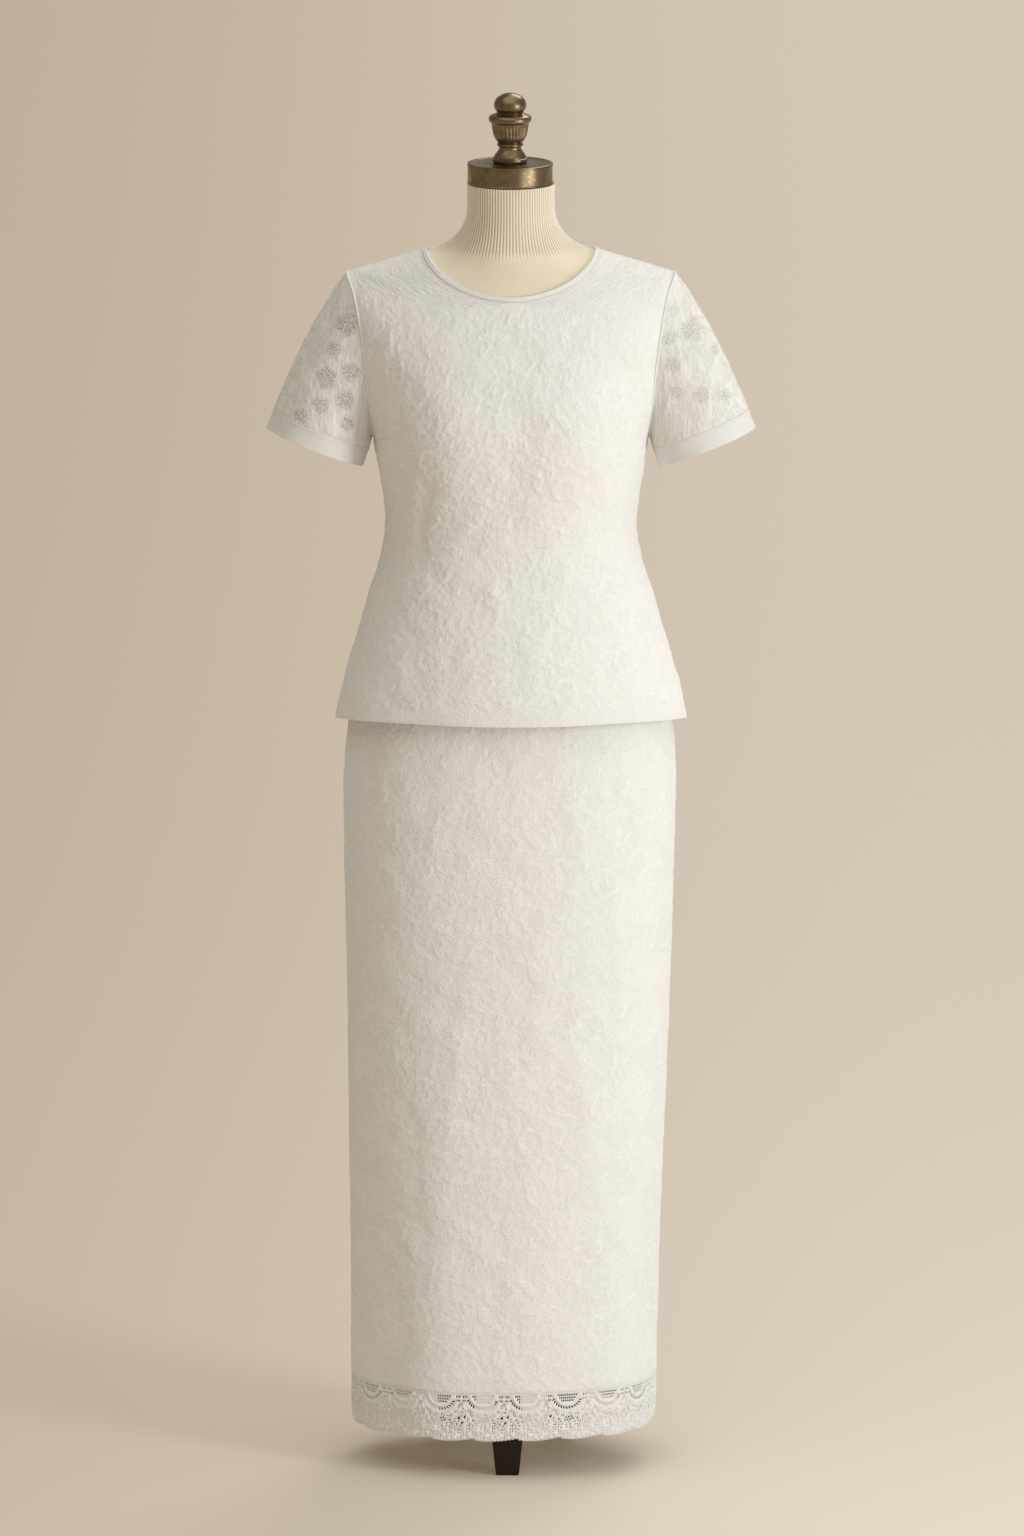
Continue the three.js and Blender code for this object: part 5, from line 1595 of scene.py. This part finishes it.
def neck_line(half, turn, side, climb):
    """One line up the neck's skin, from under the binding to the cap."""
    share = np.array([turn, max(turn - 0.02, 0), min(turn + 0.02, 1), turn])
    spots = upper_top(half, np.array([0, 0, 0, 0.01]), NECK_ROW + (SHOULDER_ROW - NECK_ROW) * share)
    normal = np.cross(spots[2] - spots[1], spots[3] - spots[0])
    normal *= np.sign(normal @ (spots[0] * (1, 1, 0) + (0, 0, 40))) / np.linalg.norm(normal)
    if turn < 1e-9:
        normal[0] = 0
    start = (spots[0] - normal * FORM_INSET) * (side, 1, 1)
    angle = turn * np.pi / 2

    def ring(radius, z):
        return np.array((side * radius * math.sin(angle), half.sign * radius * math.cos(angle), z))

    aside = (math.hypot(math.sin(angle), 0.2) - 0.2) / (math.hypot(1, 0.2) - 0.2)  # level at the middle
    rise, lean = mix(*NECK_RISE[half.name], aside), mix(*NECK_LEAN[half.name], smooth(turn))
    inward = mix(start, ring(NECK_RADIUS, start[2]), lean) + (0, 0, rise)
    foot = ring(NECK_RADIUS + NECK_FLARE, mix(start[2], NECK_COLUMN_Z, NECK_FOOT))
    top = ring(NECK_RADIUS, NECK_COLUMN_Z)
    line = cubic((start, inward, foot, top), np.minimum(climb, 1)[:, None])
    line[:, 2] += np.maximum(climb - 1, 0) * (NECK_TOP_Z - NECK_COLUMN_Z)
    return line


def merged_copy(node):
    """A copy of a frame node's mesh with its loose triangles joined."""
    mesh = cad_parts[node].data.copy()
    with edited(mesh) as bm:
        bmesh.ops.remove_doubles(bm, verts=bm.verts, dist=1e-5)
    return mesh


def form_body():
    """The form's torso under the cloth, from its frame node, rounded off."""
    mesh = merged_copy("form_torso")
    wide, deep = NECK_DRAWN_INSIDE
    with edited(mesh) as bm:
        bmesh.ops.join_triangles(bm, faces=bm.faces, angle_face_threshold=0.7, angle_shape_threshold=0.7)
        bmesh.ops.subdivide_edges(bm, edges=bm.edges, cuts=1, use_grid_fill=True, smooth=0.0)
        bm.normal_update()
        for vert in bm.verts:
            x, y, z = np.array(vert.co) / MM - POLE_AT
            if z > NECK_DRAWN_FROM_Z and (x / wide) ** 2 + (y / deep) ** 2 < 1:
                vert.co -= vert.normal * NECK_DRAWN_BY * MM
    # all ones: the jersey's painted groove shade stays off the torso
    set_relief(mesh, np.ones(len(mesh.vertices)))
    return finished(mesh, 40)


def lathe(name, profile, segments, centre, wave=None):
    """A turned solid about an upright axis. profile holds (radius, z); wave(turn, z) shades the radius."""
    turns = np.arange(segments) * 2 * np.pi / segments
    points, faces = [], []
    rings = [row for row in profile if row[0] > 1e-6]
    for radius, z in rings:
        reach = radius + (0 if wave is None else wave(turns, z))
        around = pairs(centre[0] + reach * np.cos(turns), centre[1] + reach * np.sin(turns))
        points.extend((x, y, z) for x, y in around.tolist())
    for i in range(len(rings) - 1):
        for k in range(segments):
            a, b = i * segments + k, i * segments + (k + 1) % segments
            faces.append((a, b, b + segments, a + segments))
    last = (len(rings) - 1) * segments
    for ring, z, order in ((0, profile[0][1], -1), (last, profile[-1][1], 1)):
        points.append((centre[0], centre[1], z))
        for k in range(segments):
            face = (ring + k, ring + (k + 1) % segments, len(points) - 1)
            faces.append(face[::order])
    return mesh_of(name, np.array(points), faces, weld=False, sharp=38)


def curve_through(rows, count):
    """Points of a smooth curve through profile rows, one list between each pair of sharp corners."""
    rows = np.array(rows, float)
    run = run_along(rows)
    table = np.column_stack((run, rows))
    at = np.linspace(0, run[-1], count)
    return list(zip(column(table, 1)(at).tolist(), column(table, 2)(at).tolist()))


# The finial's turned profile, in lengths between its sharp corners: radius and height.
FINIAL_BASE = [(19.4, 1554.6), (20.5, 1556.2), (20.9, 1558.0), (20.5, 1559.8)]
FINIAL_FOOT = [(19.2, 1560.4), (18.8, 1562.0), (16.2, 1566.0), (13.9, 1569.2), (13.0, 1571.6), (13.3, 1573.6)]
FINIAL_BEAD = [(14.6, 1574.2), (15.5, 1575.2), (15.5, 1576.2), (14.6, 1577.2)]
FINIAL_CUP = [(13.9, 1577.8), (16.6, 1580.8), (19.2, 1586.0), (20.6, 1592.0), (21.8, 1598.6), (22.4, 1601.4)]
FINIAL_RIM = [(23.2, 1602.2), (24.6, 1603.6), (25.2, 1606.0), (24.8, 1608.4), (23.0, 1610.2)]
FINIAL_NECK = [(21.0, 1611.0), (17.4, 1612.4), (15.6, 1613.6), (15.2, 1614.2)]
FINIAL_BALL = [(16.0, 1615.2), (18.2, 1618.2), (19.1, 1622.0), (18.6, 1625.6), (16.6, 1629.6), (13.2, 1632.8),
               (8.6, 1635.2), (4.0, 1636.5), (0.8, 1636.8)]


CUP_FLUTES = 30
CUP_FLUTE_DEPTH = 0.9
CUP_FLUTES_Z = (1583, 1600)


def finial_mesh(centre):
    profile = [(0, FINIAL_BASE[0][1])]
    for part, count in ((FINIAL_BASE, 8), (FINIAL_FOOT, 16), (FINIAL_BEAD, 8), (FINIAL_CUP, 26),
                        (FINIAL_RIM, 12), (FINIAL_NECK, 8), (FINIAL_BALL, 26)):
        profile += curve_through(part, count)
    profile.append((0, FINIAL_BALL[-1][1]))

    def cup_flutes(turns, z):
        inside = smooth((z - CUP_FLUTES_Z[0]) / 5) * smooth((CUP_FLUTES_Z[1] - z) / 3)
        return -CUP_FLUTE_DEPTH * float(inside) * (0.5 + 0.5 * np.cos(turns * CUP_FLUTES)) ** 1.5

    return lathe("finial", profile, 240, centre, cup_flutes)


CAP_RADIUS = 50.3
CAP_LOW_Z = 1530.0
CAP_TOP_Z = 1554.3


def cap_mesh(centre):
    radius, low, high = CAP_RADIUS, CAP_LOW_Z, CAP_TOP_Z
    profile = [
        (0, low), (radius - 1.6, low), (radius - 0.5, low + 0.35), (radius, low + 1.3), (radius, low + 2.2),
        (radius - 0.45, low + 2.7), (radius - 0.45, high - 3.4), (radius, high - 2.9), (radius, high - 1.5),
        (radius - 0.5, high - 0.5), (radius - 1.6, high), (radius - 4.2, high), (radius - 4.9, high - 0.35),
        (24.5, high - 0.25), (23.6, high), (0, high)]
    return lathe("neck_cap", profile, 144, centre)


def softened(node, width):
    """A frame node's shape with its edges rounded."""
    mesh = merged_copy(node)
    with edited(mesh) as bm:
        bmesh.ops.dissolve_limit(bm, angle_limit=math.radians(2), verts=bm.verts, edges=bm.edges)
    obj = in_scene("softened", mesh)
    bevel = obj.modifiers.new("edges", "BEVEL")
    bevel.width, bevel.segments = width * MM, 3
    bevel.limit_method, bevel.angle_limit = "ANGLE", math.radians(24)
    mesh = finished(evaluated_mesh(obj), 35)
    bpy.data.objects.remove(obj)
    return mesh


# ------ what a user may change
def colour_property(name, description, default):
    return bpy.props.FloatVectorProperty(name=name, description=description, default=default, size=3, min=0,
                                         max=1, subtype="COLOR")


def length_property(name, description, default, low, high):
    return bpy.props.FloatProperty(name=name, description=description, default=default, min=low, max=high,
                                   unit="LENGTH", subtype="DISTANCE")


def count_property(name, description, default, low, high):
    return bpy.props.IntProperty(name=name, description=description, default=default, min=low, max=high)


class PuletasiLace(bpy.types.PropertyGroup):
    """The all-over lace of the tunic and the skirt."""

    seed: count_property("Seed", "Start of the draw that scatters the lace's figures", 11, 0, 9999)
    relief: bpy.props.FloatProperty(name="Relief", default=1.4, min=0, max=2,
                                    description="How far the lace's cords stand up, in millimetres")
    colour: colour_property("Lace", "Colour of the lace cloth", (0.88, 0.872, 0.84))
    sheer: colour_property("Sheer lace", "Colour of the sleeves' thin lace", (0.87, 0.855, 0.81))
    plain: colour_property("Plain cloth", "Colour of the binding and the hems", (0.9, 0.892, 0.862))
    thread: colour_property("Thread", "Colour of the stitches and the border's threads", (0.88, 0.87, 0.84))


class PuletasiBorder(bpy.types.PropertyGroup):
    """The scalloped lace border of the skirt."""

    repeats: count_property("Repeats", "Repeats of the border's figure on each half", 10, 4, 30)
    width: length_property("Repeat width", "Width of one repeat, laid flat", 0.05, 0.02, 0.1)
    height: length_property("Height", "Height of the border, laid flat", 0.058, 0.02, 0.1)


class PuletasiForm(bpy.types.PropertyGroup):
    """The dress form and its stand."""

    ribs: count_property("Ribs", "Ribs round the neck's jersey", 92, 24, 160)
    jersey: colour_property("Jersey", "Colour of the form's jersey", (0.86, 0.775, 0.60))
    brass: colour_property("Brass", "Colour of the aged brass", (0.21, 0.155, 0.09))
    steel: colour_property("Steel", "Colour of the pole", (0.16, 0.14, 0.12))
    wood: colour_property("Wood", "Colour of the stand's wood", (0.015, 0.008, 0.003))


class PuletasiStage(bpy.types.PropertyGroup):
    """The floor, the lights and the camera."""

    floor: colour_property("Floor", "Colour of the floor", (0.61, 0.569, 0.515))
    tilt: bpy.props.FloatProperty(name="Look down", description="How far the camera looks down",
                                  default=math.radians(11), subtype="ANGLE", unit="ROTATION")
    distance: length_property("Distance", "From the camera to its target", 20, 2, 60)
    view_height: length_property("View height", "Height of the view at the target", 1.8125, 0.5, 5)


SETTINGS = {"puletasi_lace": PuletasiLace, "puletasi_border": PuletasiBorder, "puletasi_form": PuletasiForm,
            "puletasi_stage": PuletasiStage}
# For each finish: its maker, where its colour is set, and what else the maker is told.
FINISHES = {
    "lace_cloth": (lace_finish, "puletasi_lace", "colour"),
    "sheer_lace": (sheer_finish, "puletasi_lace", "sheer"),
    "binding_cloth": (plain_finish, "puletasi_lace", "plain"),
    "sleeve_band": (plain_finish, "puletasi_lace", "plain", 0.9),
    "elastic": (plain_finish, "puletasi_lace", "plain"),
    "border_lace": (thread_finish, "puletasi_lace", "thread", 0.95),
    "thread": (thread_finish, "puletasi_lace", "thread"),
    "form_jersey": (jersey_finish, "puletasi_form", "jersey"),
    "aged_brass": (brass_finish, "puletasi_form", "brass"),
    "pole_metal": (steel_finish, "puletasi_form", "steel"),
    "stand_wood": (wood_finish, "puletasi_form", "wood"),
}
MADE = {}


def finish_for(name):
    """A finish in the colour that is set for it, made once."""
    if name not in MADE:
        make, group, key, *more = FINISHES[name]
        MADE[name] = make(Finish(name), tuple(getattr(getattr(bpy.context.scene, group), key)), *more)
    return MADE[name]


def lace_figure():
    """The lace's raised figure, made once."""
    if "figure" not in MADE:
        settings = bpy.context.scene.puletasi_lace
        MADE["figure"] = LaceFigure(settings.seed, settings.relief)
    return MADE["figure"]


# ------ operators
SIDES = ((-1, "left"), (1, "right"))
WELT_OUT = 0.3
WELT_RADIUS = 1.3
STITCH_STEP = 3.1
STITCH_LENGTH = 2.4
STITCH_THREAD = 0.55
STITCHES_IN = 2.4  # from the binding's and the border's edge
SLEEVE_STITCHES_UP = 20.0  # from the sleeve's hem
STITCHES_OUT = {"hem": 0.55, "border": 0.45, "neckline": 0.35, "sleeve": 0.35}  # from the cloth's surface
# The stand's nodes, how far their edges are rounded, and their slots.
STAND = (("pole", 0.8, "pole_metal"), ("hub", 2.5, "stand_wood"), ("leg_front", 1.6, "stand_wood"),
         ("leg_left", 1.6, "stand_wood"), ("leg_right", 1.6, "stand_wood"))

# The stage, in metres and degrees. A light's turn is to the right of the front.
FLOOR_REACH = 60
# Painted shade: the floor is drawn darker towards the left, away from the light.
FLOOR_LEFT_PAINTED_SHADE = (0.74, 0.71, 0.665)  # the floor's tone far to the left, as a share of its colour
# where that painted shade fades in along x, in metres
FLOOR_PAINTED_SHADE_SPAN = (-1.1, 0.7)
# Painted light: the floor glows faintly, though it is no lamp, to lift the shadow under the skirt.
FLOOR_PAINTED_GLOW = (1.0, 0.74, 0.47, 1.0)
FLOOR_PAINTED_GLOW_STRENGTH = 0.13
ROOM_LIGHT = (1.0, 0.905, 0.79, 1)
ROOM_STRENGTH = 0.32
SENSOR = 36  # mm
TARGET_X = 0.0012
TARGET_Z = 0.8314
Softbox = namedtuple("Softbox", "turn height distance size power colour")
SOFTBOX = Softbox(52, 1.45, 3.6, (0.9, 2.0), 66, (0.955, 0.995, 1.03))
Sun = namedtuple("Sun", "name turn height strength spread colour")
SUNS = (Sun("overhead", 20, 74, 1.14, 85, (1.0, 1.0, 0.96)),
        Sun("behind", 158, 40, 0.85, 30, (1.0, 0.97, 0.94)))


class PULETASI_OT_tunic(bpy.types.Operator):
    """Builds the tunic's front and back panels"""

    bl_idname = "puletasi.tunic"
    bl_label = "Tunic"

    def execute(self, context):
        for half in (FRONT, BACK):
            mesh = tunic_panel(half, lace_figure())
            obj = piece("tunic_" + half.name, mesh, "lace_cloth", "top_" + half.name)
        return {"FINISHED"}


class PULETASI_OT_binding(bpy.types.Operator):
    """Builds the binding round the neckline"""

    bl_idname = "puletasi.binding"
    bl_label = "Neck binding"

    def execute(self, context):
        obj = piece("neckline_binding", neck_binding(), "binding_cloth", "neck_binding")
        return {"FINISHED"}


class PULETASI_OT_sleeves(bpy.types.Operator):
    """Builds the sheer sleeves, their bands and the welts round the armholes"""

    bl_idname = "puletasi.sleeves"
    bl_label = "Sleeves"

    def execute(self, context):
        tree = welt_tree()
        for side, name in SIDES:
            cloth = sleeve(side, lace_figure())
            body = piece("sleeve_cloth_" + name, cloth, "sheer_lace", "sleeve_" + name)
            hem = piece("sleeve_hem_" + name, sleeve_band(side), "sleeve_band", "sleeve_band_" + name)
            cord = tree.run(line_mesh(armhole_line(side, WELT_OUT), closed=True), Radius=WELT_RADIUS * MM,
                            Material=finish_for("binding_cloth"))
            piece("armhole_welt_" + name, finished(cord), "binding_cloth")
        return {"FINISHED"}


class PULETASI_OT_skirt(bpy.types.Operator):
    """Builds the skirt's panels and its elastic waistband"""

    bl_idname = "puletasi.skirt"
    bl_label = "Skirt"

    def execute(self, context):
        band = piece("skirt_elastic", waistband(), "elastic", "skirt_waistband")
        for half in (FRONT, BACK):
            mesh = skirt_panel(half, lace_figure())
            obj = piece("skirt_panel_" + half.name, mesh, "lace_cloth", "skirt_" + half.name)
        return {"FINISHED"}


class PULETASI_OT_border(bpy.types.Operator):
    """Builds the skirt's scalloped lace border"""

    bl_idname = "puletasi.border"
    bl_label = "Lace border"

    def execute(self, context):
        settings = context.scene.puletasi_border
        tree = border_tree()
        repeat = lace_repeat(settings.width / MM, settings.height / MM)
        length = settings.repeats * settings.width
        for half in (FRONT, BACK):
            guide = border_guide(half, length / MM, settings.height / MM)
            mesh = tree.run(repeat, Guide=guide, Repeats=settings.repeats, Repeat_Width=settings.width,
                            Material=finish_for("border_lace"))
            bpy.data.objects.remove(guide)
            obj = piece("hem_lace_" + half.name, finished(close_ends(mesh), 180), "border_lace",
                        "lace_border_" + half.name)
        return {"FINISHED"}


class PULETASI_OT_stitches(bpy.types.Operator):
    """Lays the stitch lines at the hems and the neckline"""

    bl_idname = "puletasi.stitches"
    bl_label = "Stitches"

    def execute(self, context):
        across = both_sides(np.linspace(0, 0.995, 160))
        lines = {}
        for half in (FRONT, BACK):
            row = np.full_like(across, HEM_TURN / (UNDERARM_Z - TOP_HEM_CENTRE_Z))
            edges = {"hem": lower_top(half, across, row),
                     "border": skirt_point(half, across, np.full_like(across, LACE_TOP_Z + STITCHES_IN))}
            for key, points in edges.items():
                out = away_from_axis(points) * STITCHES_OUT[key]
                lines[key + "_stitches_" + half.name] = points + out
        ring = neckline_ring(BINDING_WIDTH + STITCHES_IN)
        lines["neckline_stitches"] = np.concatenate((ring, ring[:1])) + (0, 0, STITCHES_OUT["neckline"])
        for side, name in SIDES:
            points, normal, *_ = sleeve_grid(side, SLEEVE_STITCHES_UP, SLEEVE_STITCHES_UP - 1, 1, 120)
            lines["sleeve_stitches_" + name] = points[0] + normal[0] * STITCHES_OUT["sleeve"]
        tree, finish = stitch_tree(), finish_for("thread")
        for name, points in lines.items():
            mesh = tree.run(line_mesh(points), Step=STITCH_STEP * MM, Length=STITCH_LENGTH * MM,
                            Thread=STITCH_THREAD * MM, Material=finish)
            piece(name, finished(mesh), "binding_cloth", finish=finish)
        return {"FINISHED"}


class PULETASI_OT_form(bpy.types.Operator):
    """Builds the dress form's torso, ribbed neck, cap and finial"""

    bl_idname = "puletasi.form"
    bl_label = "Dress form"

    def execute(self, context):
        piece("form_body", form_body(), "form_jersey", "form_torso")
        piece("form_neck", neck_skin(context.scene.puletasi_form.ribs), "form_jersey")
        piece("form_cap", cap_mesh(middle_of("neck_cap") / MM), "aged_brass", "neck_cap")
        piece("form_finial", finial_mesh(middle_of("finial") / MM), "aged_brass", "finial")
        return {"FINISHED"}


class PULETASI_OT_stand(bpy.types.Operator):
    """Builds the stand: pole, hub and three wooden legs"""

    bl_idname = "puletasi.stand"
    bl_label = "Stand"

    def execute(self, context):
        for node, rounding, slot in STAND:
            piece("stand_" + node, softened(node, rounding), slot, node)
        return {"FINISHED"}


class PULETASI_OT_stage(bpy.types.Operator):
    """Sets the pale floor, the soft lights and the camera"""

    bl_idname = "puletasi.stage"
    bl_label = "Stage"

    def execute(self, context):
        scene, settings = context.scene, context.scene.puletasi_stage
        self.floor(tuple(settings.floor))
        scene.world = bpy.data.worlds.new("studio")
        scene.world.use_nodes = True
        room = scene.world.node_tree.nodes["Background"].inputs
        room["Color"].default_value, room["Strength"].default_value = ROOM_LIGHT, ROOM_STRENGTH
        target = Vector((TARGET_X, float(POLE_AT[1]) * MM, TARGET_Z))
        self.softbox(target, SOFTBOX)
        for sun in SUNS:
            self.sun(sun)
        camera = bpy.data.cameras.new("camera")
        camera.sensor_width = camera.sensor_height = SENSOR
        camera.lens = SENSOR * settings.distance / settings.view_height
        camera.clip_end = 200
        viewer = in_scene("camera", camera)
        tilt = settings.tilt
        viewer.location = target + Vector((0, -math.cos(tilt), math.sin(tilt))) * settings.distance
        viewer.rotation_euler = (math.pi / 2 - tilt, 0, 0)
        scene.camera = viewer
        scene.view_settings.view_transform = "Standard"
        return {"FINISHED"}

    def floor(self, colour):
        """A wide pale floor, drawn darker towards the left with painted shade, that glows faintly with
        painted light to lift the shadow under the skirt.
        """
        reach = FLOOR_REACH
        mesh = bpy.data.meshes.new("floor")
        mesh.from_pydata([(-reach, -reach, 0), (reach, -reach, 0), (reach, reach, 0), (-reach, reach, 0)], [],
                         [(0, 1, 2, 3)])
        finish = Finish("stage_floor")
        across = finish.add("SeparateXYZ", _0=finish.place(1.0)).outputs[0]
        # painted shade: the floor's colour to the left
        left = (*(channel * share for channel, share in zip(colour, FLOOR_LEFT_PAINTED_SHADE)), 1.0)
        # the emission is painted light that lifts the shadow under the skirt
        mesh.materials.append(finish.wear(
            Base_Color=finish.clouded(across, *FLOOR_PAINTED_SHADE_SPAN, left, shade(colour, 1.0)), Roughness=0.95,
            Specular_IOR_Level=0.1, Emission_Color=FLOOR_PAINTED_GLOW, Emission_Strength=FLOOR_PAINTED_GLOW_STRENGTH))
        return in_scene("floor", mesh)

    def softbox(self, target, box):
        """A tall soft panel that faces the garment from the right of its front."""
        light = bpy.data.lights.new("softbox", "AREA")
        light.shape, (light.size, light.size_y) = "RECTANGLE", box.size
        light.energy, light.color = box.power, box.colour
        obj, turn = in_scene("softbox", light), math.radians(box.turn)
        obj.location = (box.distance * math.sin(turn), -box.distance * math.cos(turn), box.height)
        obj.rotation_euler = (obj.location - target - Vector((0, 0, 0.2))).to_track_quat("Z", "Y").to_euler()

    def sun(self, sun):
        """A soft light from far off."""
        light = bpy.data.lights.new(sun.name, "SUN")
        light.energy, light.angle, light.color = sun.strength, math.radians(sun.spread), sun.colour
        turn, height = math.radians(sun.turn), math.radians(sun.height)
        away = Vector((math.sin(turn) * math.cos(height), -math.cos(turn) * math.cos(height),
                       math.sin(height)))
        obj = in_scene(sun.name, light)
        obj.location = away * 4
        obj.rotation_euler = away.to_track_quat("Z", "Y").to_euler()


class PULETASI_PT_panel(bpy.types.Panel):
    """Lists the puletasi's pieces and settings"""

    bl_label = "Puletasi"
    bl_idname = "PULETASI_PT_panel"
    bl_space_type = "VIEW_3D"
    bl_region_type = "UI"
    bl_category = "Puletasi"

    def draw(self, context):
        for name, group in SETTINGS.items():
            box = self.layout.box()
            for key in group.__annotations__:
                box.prop(getattr(context.scene, name), key)
        for operator in OPERATORS:
            self.layout.operator(operator.bl_idname)


OPERATORS = (PULETASI_OT_stage, PULETASI_OT_form, PULETASI_OT_stand, PULETASI_OT_tunic, PULETASI_OT_binding,
             PULETASI_OT_sleeves, PULETASI_OT_skirt, PULETASI_OT_border, PULETASI_OT_stitches)
CLASSES = (*SETTINGS.values(), *OPERATORS, PULETASI_PT_panel)


def register():
    for made in CLASSES:
        bpy.utils.register_class(made)
    for name, group in SETTINGS.items():
        setattr(bpy.types.Scene, name, bpy.props.PointerProperty(type=group))


def unregister():
    for name in SETTINGS:
        delattr(bpy.types.Scene, name)
    for made in reversed(CLASSES):
        bpy.utils.unregister_class(made)


def main():
    register()
    bpy.ops.puletasi.stage()
    bpy.ops.puletasi.form()
    bpy.ops.puletasi.stand()
    bpy.ops.puletasi.tunic()
    bpy.ops.puletasi.binding()
    bpy.ops.puletasi.sleeves()
    bpy.ops.puletasi.skirt()
    bpy.ops.puletasi.border()
    bpy.ops.puletasi.stitches()
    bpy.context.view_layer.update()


if __name__ == "__main__":
    main()
